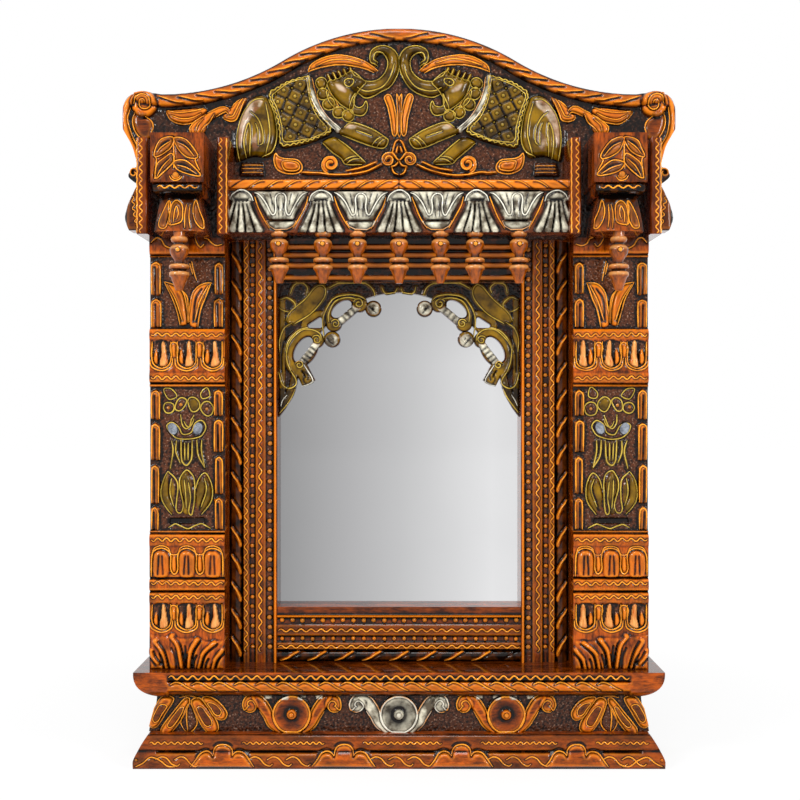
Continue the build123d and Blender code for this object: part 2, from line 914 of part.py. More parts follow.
def frame_moulding(slope):
    """The moulding's section: local x runs inwards from its outer edge, local y is the depth."""
    rope_end = frame_rope_width
    fillet_end = rope_end + frame_fillet_width
    bead_end = fillet_end + frame_bead_groove_width
    second_end = bead_end + frame_second_fillet_width
    stud_end = second_end + frame_stud_groove_width
    arris_end = stud_end + frame_arris_width
    inner_edge = frame_moulding_width + slope
    groove_depth = frame_front_depth - frame_groove
    arris_depth = frame_front_depth + frame_arris_rise
    rope_swell_depth = frame_rope_edge_depth + frame_rope_swell
    Line((0, 0), (0, frame_rope_edge_depth))
    ThreePointArc(
        (0, frame_rope_edge_depth),
        (rope_end / 2, rope_swell_depth),
        (rope_end, frame_rope_foot_depth),
    )
    Polyline(
        (rope_end, frame_rope_foot_depth),
        (rope_end, frame_front_depth),
        (fillet_end, frame_front_depth),
        (fillet_end, groove_depth),
        (bead_end, groove_depth),
        (bead_end, frame_front_depth),
        (second_end, frame_front_depth),
        (second_end, groove_depth),
        (stud_end, groove_depth),
        (stud_end, arris_depth),
        (arris_end, arris_depth),
        (inner_edge, frame_lip_depth),
        (inner_edge, rebate_depth),
        (inner_edge - rebate_width, rebate_depth),
        (inner_edge - rebate_width, 0),
        (0, 0),
    )


point_z = [glass_bottom + share * (glass_top - glass_bottom) for share in point_height_shares]
point_depth = backing_back - point_thickness
point_middle_x = frame_inner_x + rebate_width

with BuildPart() as frame_stile:
    outer_corner = (column_inner_x - edge_gap, 0, sill_top)
    with BuildSketch(Plane(origin=outer_corner, x_dir=(-1, 0, 0), z_dir=(0, 0, 1))):
        with BuildLine():
            frame_moulding(-edge_gap)
        make_face()
    extrude(amount=stile_height)
    with BuildSketch(facing(point_depth - hole_gap)):
        for z in point_z:
            with Locations((point_middle_x, z)):
                Rectangle(point_length + 2 * hole_gap, point_width + 2 * hole_gap)
    extrude(amount=point_thickness + 2 * hole_gap, mode=Mode.SUBTRACT)
keep_pair(frame_stile, "frame_stile")

with BuildPart() as frame_rail_bottom:
    with BuildSketch(Plane(origin=(0, 0, sill_top), x_dir=(0, 0, 1), z_dir=(1, 0, 0))):
        with BuildLine():
            frame_moulding(frame_rail_slope)
        make_face()
    extrude(amount=frame_inner_x, both=True)
keep(frame_rail_bottom, "frame_rail_bottom")

with BuildPart() as frame_rail_top:
    with BuildSketch(section()):
        with BuildLine():
            Polyline(
                (rebate_depth, soffit_bottom),
                (back_thickness, soffit_bottom),
                (back_thickness, column_top),
                (0, column_top),
                (0, soffit_bottom + rebate_width),
                (rebate_depth, soffit_bottom + rebate_width),
                close=True,
            )
        make_face()
    extrude(amount=column_inner_x - edge_gap, both=True)
    with BuildSketch(facing(0)):
        for end_x in (-column_inner_x, column_inner_x):
            with Locations((end_x, soffit_bottom)):
                Rectangle(
                    2 * (frame_moulding_width - rebate_width),
                    rebate_width,
                    align=(Align.CENTER, Align.MIN),
                )
    extrude(amount=rebate_depth)
    with BuildSketch(facing(0)):
        with Locations((0, (soffit_bottom + column_top) / 2)):
            Rectangle(2 * (column_inner_x - edge_gap), soffit_height)
    extrude(amount=back_thickness, mode=Mode.INTERSECT)
keep(frame_rail_top, "frame_rail_top")

for name, depth, thickness in (
    ("mirror_glass", backing_front, glass_thickness),
    ("backing_board", backing_back, backing_thickness),
):
    with BuildPart() as sheet:
        with BuildSketch(facing(depth)):
            with Locations((0, (glass_bottom + glass_top) / 2)):
                Rectangle(2 * glass_half_width, glass_top - glass_bottom)
        extrude(amount=thickness)
    keep(sheet, name)

with BuildPart() as glazing_points:
    with BuildSketch(facing(point_depth)):
        for side_x in (-point_middle_x, point_middle_x):
            for z in point_z:
                with Locations((side_x, z)):
                    Rectangle(point_length, point_width)
    extrude(amount=point_thickness)
keep(glazing_points, "glazing_points")


# Pierced arch

def on_arch(place_share):
    """A point of the arch from its shares of the half width and of the height."""
    across, up = place_share
    return (across * frame_inner_x, soffit_bottom - arch_height + up * arch_height)


with BuildPart() as arch:
    arch_bottom = soffit_bottom - arch_height
    crown_height = (arch_crown_share - arch_spring_share) * arch_height
    outer_x = frame_inner_x - edge_gap
    ring_shapes = list(
        zip(arch_ring_shares, arch_ring_half_lengths, arch_ring_half_widths, arch_ring_turns)
    )
    with BuildSketch(facing(rebate_depth + arch_back_gap)):
        with Locations((edge_gap, arch_bottom)):
            Rectangle(outer_x - edge_gap, arch_height, align=Align.MIN)
        with Locations(on_arch((0, arch_spring_share))):
            Ellipse(arch_span_share * frame_inner_x, crown_height, mode=Mode.SUBTRACT)
        with Locations((0, arch_bottom)):
            Rectangle(
                2 * arch_span_share * frame_inner_x,
                arch_spring_share * arch_height,
                align=(Align.CENTER, Align.MIN),
                mode=Mode.SUBTRACT,
            )
        for place, half_length, half_width, turn in ring_shapes:
            with Locations(on_arch(place)):
                Ellipse(half_length + arch_ring_stroke, half_width + arch_ring_stroke, rotation=turn)
        for place in arch_curl_shares:
            with Locations(on_arch(place)):
                Circle(arch_curl_radius)
        for place in arch_knob_shares:
            with Locations(on_arch(place)):
                Circle(arch_knob_radius)
        with Locations(on_arch(arch_tab_share)):
            Rectangle(arch_tab_width, arch_tab_height, rotation=arch_tab_turn)
        for place, half_length, half_width, turn in ring_shapes:
            with Locations(on_arch(place)):
                Ellipse(half_length, half_width, rotation=turn, mode=Mode.SUBTRACT)
        with Locations(on_arch(arch_gap_share)):
            Circle(arch_gap_radius, mode=Mode.SUBTRACT)
    extrude(amount=arch_thickness)
keep_pair(arch, "arch")


# Back stiles and hanging rail

with BuildPart() as back_stile:
    with BuildSketch(facing(0)):
        with Locations((column_inner_x, sill_top)):
            Rectangle(column_width, column_height + back_stile_rise, align=Align.MIN)
    extrude(amount=back_thickness)
    for width, depth in ((nail_width, back_thickness), (nail_head_width, nail_head_height)):
        with BuildSketch(facing(0)):
            for share in nail_height_shares:
                with Locations((column_centre_x, sill_top + share * column_height)):
                    Rectangle(width + 2 * hole_gap, width + 2 * hole_gap)
        extrude(amount=depth + hole_gap, mode=Mode.SUBTRACT)
keep_pair(back_stile, "back_stile")

with BuildPart() as column_nails:
    for width, depth in ((nail_width, nail_length), (nail_head_width, nail_head_height)):
        with BuildSketch(facing(0)):
            for side in (-1, 1):
                for share in nail_height_shares:
                    with Locations((side * column_centre_x, sill_top + share * column_height)):
                        Rectangle(width, width)
        extrude(amount=depth)
keep(column_nails, "column_nails")

with BuildPart() as hanging_rail:
    with BuildSketch(facing(rail_set_back)):
        with Locations((0, rail_bottom)):
            Rectangle(2 * (column_inner_x - edge_gap), rail_height, align=(Align.CENTER, Align.MIN))
    extrude(amount=back_thickness - rail_set_back)
    tack_z = hanger_z + (strap_length + ring_wire) / 2
    with BuildSketch(facing(rail_set_back)):
        for side_x in (-hanger_x, hanger_x):
            with Locations((side_x, tack_z)):
                Rectangle(tack_width + 2 * hole_gap, tack_width + 2 * hole_gap)
    extrude(amount=tack_length, mode=Mode.SUBTRACT)
keep(hanging_rail, "hanging_rail")


# Hangers: a strap folded round the ring that swings in it, and the tack that holds the strap

with BuildPart() as hanger_strap:
    sleeve_bore = ring_wire / sqrt(2) + strap_play
    sleeve_reach = sleeve_bore + strap_thickness
    strap_depth = rail_set_back - strap_thickness
    with BuildSketch(facing(strap_depth)):
        with Locations((hanger_x, hanger_z)):
            Rectangle(strap_width, strap_length, align=(Align.CENTER, Align.MIN))
    extrude(amount=strap_thickness)
    with BuildSketch(Plane.YZ.offset(hanger_x - strap_width / 2)):
        with Locations((-hanger_axis_depth, hanger_z)):
            Rectangle(2 * sleeve_reach, 2 * sleeve_reach)
    extrude(amount=strap_width)
    with BuildSketch(Plane.YZ.offset(hanger_x - strap_width / 2)):
        with Locations((-hanger_axis_depth, hanger_z)):
            Circle(sleeve_bore)
    extrude(amount=strap_width, mode=Mode.SUBTRACT)
    with BuildSketch(facing(strap_depth)):
        with Locations((hanger_x, tack_z)):
            Rectangle(tack_width + 2 * hole_gap, tack_width + 2 * hole_gap)
    extrude(amount=strap_thickness, mode=Mode.SUBTRACT)
keep_pair(hanger_strap, "hanger_strap")

with BuildPart() as hanger_ring:
    bow_z = hanger_z - ring_leg
    with BuildSketch(facing(hanger_axis_depth - ring_wire / 2)):
        for reach, bar_z, mode in (
            (ring_inner_radius + ring_wire, hanger_z + ring_wire / 2, Mode.ADD),
            (ring_inner_radius, hanger_z - ring_wire / 2, Mode.SUBTRACT),
        ):
            left_end = (hanger_x - reach, bow_z)
            right_end = (hanger_x + reach, bow_z)
            with BuildLine():
                Polyline(right_end, (hanger_x + reach, bar_z), (hanger_x - reach, bar_z), left_end)
                ThreePointArc(left_end, (hanger_x, bow_z - reach), right_end)
            make_face(mode=mode)
    extrude(amount=ring_wire)
keep_pair(hanger_ring, "hanger_ring")

with BuildPart() as hanger_tacks:
    tack_back = strap_depth - tack_head_height
    for width, reach in (
        (tack_head_width, tack_head_height),
        (tack_width, tack_head_height + tack_length),
    ):
        with BuildSketch(facing(tack_back)):
            with Locations((-hanger_x, tack_z), (hanger_x, tack_z)):
                Rectangle(width, width)
        extrude(amount=reach)
keep(hanger_tacks, "hanger_tacks")
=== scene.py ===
from math import atan, cos, pi, radians, sin, tau

import bmesh
import bpy
import numpy as np
from mathutils import Matrix, Vector


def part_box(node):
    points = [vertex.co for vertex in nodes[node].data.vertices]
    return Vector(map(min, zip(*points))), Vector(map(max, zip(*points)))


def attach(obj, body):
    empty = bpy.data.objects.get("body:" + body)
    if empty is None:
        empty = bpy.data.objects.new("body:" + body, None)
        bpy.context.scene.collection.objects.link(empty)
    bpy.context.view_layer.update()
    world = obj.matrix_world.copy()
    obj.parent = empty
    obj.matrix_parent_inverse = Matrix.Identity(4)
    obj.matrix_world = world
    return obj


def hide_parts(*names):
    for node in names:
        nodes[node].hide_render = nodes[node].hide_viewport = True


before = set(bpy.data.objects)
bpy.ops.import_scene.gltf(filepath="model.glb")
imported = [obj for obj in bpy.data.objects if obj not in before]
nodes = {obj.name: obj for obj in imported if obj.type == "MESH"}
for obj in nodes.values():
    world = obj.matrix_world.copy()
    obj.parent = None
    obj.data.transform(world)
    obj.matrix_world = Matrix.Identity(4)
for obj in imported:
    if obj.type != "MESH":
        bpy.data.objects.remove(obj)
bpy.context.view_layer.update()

# A carved and lacquered wall mirror in the form of a palace window. The carved faces are grids
# whose points are moved forward by the depth of the carving, and thin raised lines are laid on
# them. Lengths are millimetres until a mesh is made; depth is measured forward of the wall.

mm = 0.001
cell_growth = 1.0

# The level camera that took the photograph, and the pixel that looks straight ahead
eye_height = 300.0
eye_distance = 1050.0
lens_pixels = 1212.9
middle_px = 399.0
middle_py = 400.0
photo_pixels = 800


def span(node, axis):
    """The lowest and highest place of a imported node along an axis, in millimetres."""
    low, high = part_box(node)
    return low[axis] / mm, high[axis] / mm


def front_of(node):
    """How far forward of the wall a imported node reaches."""
    return -span(node, 1)[0]


def back_of(node):
    """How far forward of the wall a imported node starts."""
    return -span(node, 1)[1]


def left_reach(node):
    """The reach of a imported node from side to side, mirrored onto the left half."""
    near, far = sorted(abs(value) for value in span(node, 0))
    return -far, -near


# For each kind of carving, the number that sets how its lines wander, which is one more on a right
# side, and the size of its grid's cells
grids = {
    "column": (1.0, 0.62),
    "crest": (3.0, 0.7),
    "cornice": (5.0, 0.6),
    "rope": (6.0, 0.55),
    "block": (7.0, 0.55),
    "bulb": (7.0, 0.5),
    "stile": (9.0, 0.6),
    "rail": (11.0, 0.6),
    "soffit": (12.0, 0.7),
    "arch": (12.0, 0.5),
    "sill": (14.0, 0.6),
    "frieze": (15.0, 0.6),
    "plinth": (16.0, 0.6),
}


# Lines

def smooth(points, closed=False, step=1.3):
    """Points every step along a smooth line through the given ones."""
    given = np.asarray(points, float)
    if closed:
        given = np.vstack((given[-1:], given, given[:2]))
    else:
        given = np.vstack((2 * given[0] - given[1], given, 2 * given[-1] - given[-2]))
    parts = []
    for before, start, end, after in zip(given, given[1:], given[2:], given[3:]):
        count = max(2, int(np.hypot(*(end - start)) / step) + 1)
        t = np.linspace(0, 1, count, endpoint=False)[:, None]
        bend = (2 * before - 5 * start + 4 * end - after) * t**2
        turn = (3 * start - before - 3 * end + after) * t**3
        parts.append(0.5 * (2 * start + (end - before) * t + bend + turn))
    if not closed:
        parts.append(given[-2:-1])
    return np.vstack(parts)


def spiral(centre, radius, inner, start, turns, flat=1.0):
    """A line that winds from radius to inner. Angles are in degrees and run clockwise."""
    t = np.linspace(0, 1, max(8, int(abs(turns) * 18)))
    angle = radians(start) + tau * turns * t
    reach = radius + (inner - radius) * t
    return np.column_stack(
        (centre[0] + reach * np.cos(angle), centre[1] + flat * reach * np.sin(angle))
    )


def wave(start, end, pitch, swing):
    """A wavy line between two places."""
    start = np.asarray(start, float)
    run = np.asarray(end, float) - start
    length = np.hypot(*run)
    turns = max(1, round(length / pitch))
    t = np.linspace(0, 1, turns * 8 + 1)
    away = np.array((-run[1], run[0])) / length
    swell = np.sin(tau * turns * t)
    swell = np.sign(swell) * np.abs(swell) ** 0.8
    return start + t[:, None] * run + swing * swell[:, None] * away


def flipped(points, about):
    """The points mirrored left to right about a vertical line."""
    return aside(points, 2 * about, -1)


def aside(points, middle, sign=1, down=0.0):
    """Offsets from a middle made places, to its right or with a sign of -1 to its left."""
    return [(middle + sign * x, down + y) for x, y in points]


def both_sides(half_line, middle, tip=None):
    """A symmetrical line, drawn up to a tip on its middle line and down again on the right."""
    meeting = [] if tip is None else [(middle, tip)]
    return aside(half_line, middle, -1) + meeting + aside(half_line[::-1], middle)


def hung(shape, middle, top, bottom):
    """Places for (across, down) offsets, from the top or where negative from the bottom."""
    return [(middle + x, (bottom if y < 0 else top) + y) for x, y in shape]


def distance(x, z, line, closed):
    """How far places are from a line, and the share of its length where each is nearest."""
    ends = np.roll(line, -1, axis=0) if closed else line[1:]
    starts = line if closed else line[:-1]
    best = np.full(x.shape, 1e9)
    along = np.zeros(x.shape)
    run = 0.0
    for (ax, az), (bx, bz) in zip(starts, ends):
        dx, dz = bx - ax, bz - az
        square = dx * dx + dz * dz
        if square == 0:
            continue
        share = np.clip(((x - ax) * dx + (z - az) * dz) / square, 0, 1)
        gap = (x - ax - share * dx) ** 2 + (z - az - share * dz) ** 2
        nearer = gap < best
        best = np.where(nearer, gap, best)
        length = square**0.5
        along = np.where(nearer, run + share * length, along)
        run += length
    return np.sqrt(best), along / max(run, 1e-6)


def inside(x, z, outline):
    """Whether places lie inside a closed outline."""
    within = np.zeros(x.shape, bool)
    for (ax, az), (bx, bz) in zip(outline, np.roll(outline, -1, axis=0)):
        if az == bz:
            continue
        crosses = (az > z) != (bz > z)
        within ^= crosses & (x < (bx - ax) * (z - az) / (bz - az) + ax)
    return within


def eased(share):
    """A share from 0 to 1 that starts and stops gently."""
    share = np.clip(share, 0, 1)
    return share * share * (3 - 2 * share)


def rounded(share):
    """The height of a half-round section at a share of its half width."""
    return np.sqrt(np.clip(1 - share**2, 0, 1))


edge_slack = 0.01


def within_outline(x, z, half, low, high):
    """The distance inside an outline of a given half width between two heights."""
    return np.minimum(half - abs(x), np.minimum(z - low + edge_slack, high - z + edge_slack))


def blurred(field, reach):
    """The mean of a field over a square about each of its points."""
    for axis in (0, 1):
        pad = [(reach + 1, reach) if axis == side else (0, 0) for side in (0, 1)]
        total = np.cumsum(np.pad(field, pad, mode="edge"), axis=axis)
        width = 2 * reach + 1
        high = np.take(total, range(width, total.shape[axis]), axis=axis)
        low = np.take(total, range(total.shape[axis] - width), axis=axis)
        field = (high - low) / width
    return field


# Carving

# The bright coat is a painted highlight: pale wood laid where the lacquer's gloss would catch the light.
COATS = ("olive", "silver", "ground", "bright")
TONES = (*COATS, "stain_and_shade")
whole_face = np.s_[:, :]
# How far a gouge wanders, how crisp its work stays, and how punched dents, cords and beads sit
tone_edge = 1.2
slow_wander = 0.2
quick_wander = 0.12
crispness = 0.45
hollow_reach = 1.5
cord_stand = 0.55
cord_groove = 5.6
dent_pitch = 1.9
dent_reach = 0.6
bead_gilt = 0.45
least_side = 0.2


class Carving:
    """A carved face seen from the front, as a grid of depths forward of the wall."""

    def __init__(self, kind, across, up, depth, side="left", plane=None, shape=None):
        hand, cell = grids[kind]
        self.hand = hand + (side == "right")
        self.cell = cell * cell_growth
        columns = max(2, round((across[1] - across[0]) / self.cell))
        rows = max(2, round((up[1] - up[0]) / self.cell))
        self.x = np.linspace(*across, columns + 1)
        self.z = np.linspace(*up, rows + 1)
        self.wide, self.high = np.meshgrid(self.x, self.z)
        flat = not callable(depth)
        self.depth = np.full(self.wide.shape, depth) if flat else depth(self.wide, self.high)
        self.plane = float(self.depth.mean()) if plane is None else plane
        self.tone = {name: np.zeros(self.wide.shape) for name in TONES}
        self.shape = shape
        self.cords = []
        self.beads = []

    def at(self, pixels, steady=False):
        """Millimetre places for pixels of the photograph, with the wander of a hand-held gouge."""
        pixels = np.atleast_2d(np.asarray(pixels, float))
        scale = (eye_distance - self.plane) / lens_pixels
        x = (pixels[:, 0] - middle_px) * scale
        z = eye_height + (middle_py - pixels[:, 1]) * scale
        if not steady:
            seed = self.hand * 2.7
            slow = np.sin(0.35 * z + 0.2 * x + seed)
            x = x + slow_wander * slow + quick_wander * np.sin(0.9 * x + seed)
            slow = np.sin(0.33 * x - 0.21 * z + 1.3 * seed)
            z = z + slow_wander * slow + quick_wander * np.sin(0.8 * z + seed)
        return np.column_stack((x, z))

    def level(self, row):
        """The height of a row of pixels."""
        return self.at((middle_px, row), steady=True)[0, 1]

    def window(self, points, reach):
        """The part of the grid round some points."""
        low = points.min(0) - reach
        high = points.max(0) + reach
        first, last = np.searchsorted(self.x, (low[0], high[0]))
        lower, upper = np.searchsorted(self.z, (low[1], high[1]))
        return slice(lower, upper), slice(first, last)

    def paint(self, tone, share, part=whole_face):
        """Gives part of the face a coat, or bare wood, in place of what it had."""
        for name in COATS:
            self.tone[name][part] *= 1 - share
        if tone in COATS:
            self.tone[tone][part] += share

    def darken(self, stain_and_shade, part=whole_face):
        """Leaves at least this much stain on part of the face."""
        self.tone["stain_and_shade"][part] = np.maximum(self.tone["stain_and_shade"][part], stain_and_shade)

    def swell(self, points, rise, edge, tone="wood", line=None, curve=True, keep=0.0):
        """Raises the inside of an outline, rounded off towards its edge. Keep is the stain left."""
        outline = smooth(self.at(points), closed=True) if curve else self.at(points)
        part = self.window(outline, 1.0)
        x, z = self.wide[part], self.high[part]
        gap, _ = distance(x, z, outline, True)
        within = inside(x, z, outline)
        self.depth[part] += within * rise * rounded(1 - np.clip(gap / edge, 0, 1))
        self.paint(tone, within, part)
        self.tone["stain_and_shade"][part] *= np.where(within, keep, 1.0)
        if line:
            self.trace(outline, line, closed=True, placed=True)

    def shade(self, points, share):
        """Leaves stain inside an outline."""
        outline = smooth(self.at(points), closed=True)
        part = self.window(outline, 1.0)
        self.darken(share * inside(self.wide[part], self.high[part], outline), part)

    def cut(self, line, width, deep, closed=False, stain_and_shade=1.0, placed=False):
        """Cuts a groove along a line and leaves dark stain in it."""
        line = line if placed else smooth(self.at(line), closed)
        part = self.window(line, width)
        gap, _ = distance(self.wide[part], self.high[part], line, closed)
        share = eased(1 - gap / (width / 2))
        self.depth[part] -= deep * share
        self.darken(np.clip(share * 1.7, 0, 1) * stain_and_shade, part)

    def ridge(self, line, width, rise, tone="wood", slim=(1.0, 1.0), placed=False, sharp=0.5):
        """Raises a rounded bar along a line. Slim gives the share of its width at each end."""
        line = line if placed else smooth(self.at(line))
        part = self.window(line, width)
        gap, along = distance(self.wide[part], self.high[part], line, False)
        half = width / 2 * (slim[0] + (slim[1] - slim[0]) * along)
        share = np.clip(1 - (gap / half) ** 2, 0, 1)
        self.depth[part] += rise * share**sharp
        self.paint(tone, share > 0, part)
        self.tone["stain_and_shade"][part] *= share <= 0

    def trace(self, line, radius, closed=False, placed=False, deep=0.6, tone=None):
        """Lays a thin raised line with a dark cut along both of its sides."""
        line = line if placed else smooth(self.at(line), closed)
        if deep:
            self.cut(line, radius * cord_groove, deep, closed, placed=True)
        self.cords.append((line, radius, closed, tone))

    def stipple(self, deep, pitch=dent_pitch):
        """Punches the ground with many small uneven dents."""
        chance = np.random.default_rng(int(self.hand * 31) + 5)
        columns = int((self.x[-1] - self.x[0]) / pitch) + 4
        rows = int((self.z[-1] - self.z[0]) / pitch) + 4
        away = chance.uniform(0.1, 0.9, (rows, columns, 2))
        force = chance.uniform(0.4, 1.0, (rows, columns))
        column = ((self.wide - self.x[0]) / pitch).astype(int) + 1
        row = ((self.high - self.z[0]) / pitch).astype(int) + 1
        dent = np.zeros(self.wide.shape)
        for up in (-1, 0, 1):
            for side in (-1, 0, 1):
                i, j = row + up, column + side
                x = self.x[0] + (j - 1 + away[i, j, 0]) * pitch
                z = self.z[0] + (i - 1 + away[i, j, 1]) * pitch
                gap = np.hypot(self.wide - x, self.high - z)
                dent = np.maximum(dent, force[i, j] * eased(1 - gap / (dent_reach * pitch)))
        ground = self.tone["ground"]
        self.depth -= deep * dent * ground
        self.tone["stain_and_shade"] = np.clip(self.tone["stain_and_shade"] + (0.22 + 1.2 * dent) * ground, 0, 1)

    def zigzag(self, start, end, pitch=9.0, swing=1.5, radius=0.62):
        """A wavy line between two pixels of the photograph, raised from a dark cut."""
        self.trace(self.at(wave(start, end, pitch, swing)), radius, placed=True)

    def bead(self, pixel, radius, stand=0.35):
        """A small round bead in a dark ring."""
        self.bead_at(self.at(pixel)[0], radius, stand)

    def bead_at(self, place, radius, stand=0.35):
        """A small round bead at a place in millimetres, in a dark ring."""
        part = self.window(np.array([place]), radius * 2.2)
        gap = np.hypot(self.wide[part] - place[0], self.high[part] - place[1])
        dark = eased(1 - (gap - radius * 0.7) / (radius * 1.1))
        self.depth[part] -= 0.5 * dark
        self.darken(dark, part)
        self.beads.append((place[0], place[1], radius, stand))

    def sample(self, field, x, z):
        """The value of a field at places that may lie between the points of the grid."""
        u = (x - self.x[0]) / (self.x[-1] - self.x[0]) * (len(self.x) - 1)
        v = (z - self.z[0]) / (self.z[-1] - self.z[0]) * (len(self.z) - 1)
        u = np.clip(u, 0, len(self.x) - 1.001)
        v = np.clip(v, 0, len(self.z) - 1.001)
        i, j = u.astype(int), v.astype(int)
        s, t = u - i, v - j
        low = field[j, i] * (1 - s) + field[j, i + 1] * s
        high = field[j + 1, i] * (1 - s) + field[j + 1, i + 1] * s
        return low * (1 - t) + high * t

    def settle(self):
        """Softens the carving a little, darkens its hollows with staining and painted shade, and lightens
        its raised parts with wear and a painted highlight.
        """
        self.depth = crispness * self.depth + (1 - crispness) * blurred(self.depth, 1)
        reach = max(1, round(hollow_reach / self.cell))
        raised = self.depth - blurred(blurred(self.depth, reach), reach)
        hill = self.depth - blurred(blurred(self.depth, 2 * reach), 2 * reach)
        # Raised parts are lightened for wear and also as a painted highlight where gloss would catch the
        # light.
        self.tone["wear_and_highlight"] = eased(raised / 0.6)
        # Hollows are darkened for staining and also as painted shade, in place of ambient occlusion.
        hollow_stain_and_shade = eased(-raised / 0.5) + 0.75 * eased(-hill / 1.5)
        self.tone["stain_and_shade"] = np.clip(blurred(self.tone["stain_and_shade"], 1) + hollow_stain_and_shade, 0, 1)


def outline_shape(outline):
    """A test for a closed outline: the distance inside its edge, negative outside."""

    def shape(x, z):
        gap, _ = distance(x, z, outline, True)
        return np.where(inside(x, z, outline), gap, -gap)

    return shape


# Meshes

def places(bm):
    """The points of a bmesh as an array."""
    return np.array([vertex.co for vertex in bm.verts], float).reshape(-1, 3)


def trim(bm, shape, cell):
    """Takes away the part of a flat grid outside a shape and draws its rim onto the edge."""
    middles = np.array([face.calc_center_median()[:] for face in bm.faces])
    keep = shape(middles[:, 0], middles[:, 2]) > 0
    outside = [face for face, kept in zip(bm.faces, keep) if not kept]
    bmesh.ops.delete(bm, geom=outside, context="FACES")
    rim = [vertex for vertex in bm.verts if vertex.is_boundary]
    x, _, z = np.array([vertex.co for vertex in rim], float).T
    nudge = 0.05
    for _ in range(3):
        gap = shape(x, z)
        slope_x = (shape(x + nudge, z) - gap) / nudge
        slope_z = (shape(x, z + nudge) - gap) / nudge
        size = np.maximum(slope_x**2 + slope_z**2, 0.25)
        x = x + np.clip(-gap * slope_x / size, -cell, cell)
        z = z + np.clip(-gap * slope_z / size, -cell, cell)
    for vertex, new_x, new_z in zip(rim, x, z):
        vertex.co.x = new_x
        vertex.co.z = new_z


def in_order(bm):
    """The same bmesh with its points in the order in which later ones will follow."""
    mesh = bpy.data.meshes.new("ordered")
    bm.to_mesh(mesh)
    bm.free()
    ordered = bmesh.new()
    ordered.from_mesh(mesh)
    bpy.data.meshes.remove(mesh)
    return ordered


def cord_mesh(cords):
    """One mesh of round cords, each given as places in metres, a radius in metres and closed."""
    curve = bpy.data.curves.new("cord", "CURVE")
    curve.dimensions = "3D"
    curve.bevel_depth = mm
    curve.bevel_resolution = 1
    curve.use_fill_caps = True
    for points, radii, closed in cords:
        spline = curve.splines.new("POLY")
        spline.points.add(len(points) - 1)
        places4 = np.column_stack((points, np.ones(len(points))))
        spline.points.foreach_set("co", places4.ravel())
        spline.points.foreach_set("radius", radii)
        spline.use_cyclic_u = closed
    holder = bpy.data.objects.new("cord", curve)
    mesh = bpy.data.meshes.new_from_object(holder)
    bpy.data.objects.remove(holder)
    bpy.data.curves.remove(curve)
    return mesh


def finish_piece(name, bm, material, stands_for, sharp=70):
    """Makes a bmesh a finished object of the mirror's frame."""
    mesh = bpy.data.meshes.new(name)
    bm.to_mesh(mesh)
    bm.free()
    mesh.polygons.foreach_set("use_smooth", np.ones(len(mesh.polygons), bool))
    mesh.set_sharp_from_angle(angle=radians(sharp))
    mesh.materials.append(material)
    piece = bpy.data.objects.new(name, mesh)
    bpy.context.scene.collection.objects.link(piece)
    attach(piece, "frame")
    if stands_for:
        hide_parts(*stands_for)
    return piece


def give(mesh, name, values):
    """Stores a value on every point of a mesh."""
    attribute = mesh.attributes.new(name, "FLOAT", "POINT")
    attribute.data.foreach_set("value", values.astype(np.float32))


def closed_board(carving, back):
    """A board with the depths of a carving on its front and a flat back."""
    bm = bmesh.new()
    bmesh.ops.create_grid(bm, x_segments=len(carving.x) - 1, y_segments=len(carving.z) - 1, size=0.5)
    width = carving.x[-1] - carving.x[0]
    height = carving.z[-1] - carving.z[0]
    turn = Matrix(((width, 0, 0, 0), (0, 0, 1, 0), (0, height, 0, 0), (0, 0, 0, 1)))
    middle = Vector((carving.x[0] + width / 2, 0, carving.z[0] + height / 2))
    bmesh.ops.transform(bm, matrix=Matrix.Translation(middle) @ turn, verts=bm.verts)
    if carving.shape:
        trim(bm, carving.shape, carving.cell)
    where = places(bm)
    for vertex, depth in zip(bm.verts, carving.sample(carving.depth, where[:, 0], where[:, 2])):
        vertex.co.y = -depth
    rim = [edge for edge in bm.edges if edge.is_boundary]
    for at_back in (False, True):
        made = bmesh.ops.extrude_edge_only(bm, edges=rim)["geom"]
        for vertex in made:
            if isinstance(vertex, bmesh.types.BMVert):
                vertex.co.y = -back if at_back else min(vertex.co.y + tone_edge, -back - least_side)
        rim = [edge for edge in made if isinstance(edge, bmesh.types.BMEdge) and edge.is_boundary]
    if carving.shape:
        bmesh.ops.triangle_fill(bm, use_beauty=False, use_dissolve=False, edges=rim)
    else:
        bmesh.ops.contextual_create(bm, geom=rim)
    bmesh.ops.recalc_face_normals(bm, faces=bm.faces)
    return in_order(bm)


def lay_beads(bm, carving):
    """Adds the beads of a carving to its board."""
    for x, z, radius, stand in carving.beads:
        depth = carving.sample(carving.depth, np.array([x]), np.array([z]))[0] + radius * stand
        middle = Matrix.Translation((x, -depth, z))
        bmesh.ops.create_icosphere(bm, subdivisions=2, radius=radius, matrix=middle)


def lay_cords(bm, carving):
    """Adds the raised lines to a board in metres, and says which points have which tone."""
    groups = {}
    for line, radius, closed, tone in carving.cords:
        if carving.shape:
            line = line[carving.shape(*line.T) > -radius]
        x, z = line.T
        within = (x >= carving.x[0]) & (x <= carving.x[-1]) & (z >= carving.z[0]) & (z <= carving.z[-1])
        line = line[within]
        if len(line) < 3:
            continue
        depth = carving.sample(carving.depth, *line.T) + radius * cord_stand
        radii = np.full(len(line), radius)
        if not closed:
            end = np.arange(len(line)) / max(1, min(4, len(line) // 3))
            radii *= np.clip(0.45 + 0.55 * np.minimum(end, end[::-1]), 0, 1)
        points = np.column_stack((line[:, 0], -depth, line[:, 1])) * mm
        groups.setdefault(tone, []).append((points, radii, closed))
    parts = []
    for tone, group in groups.items():
        start = len(bm.verts)
        mesh = cord_mesh(group)
        bm.from_mesh(mesh)
        bpy.data.meshes.remove(mesh)
        parts.append((tone, slice(start, len(bm.verts))))
    return parts


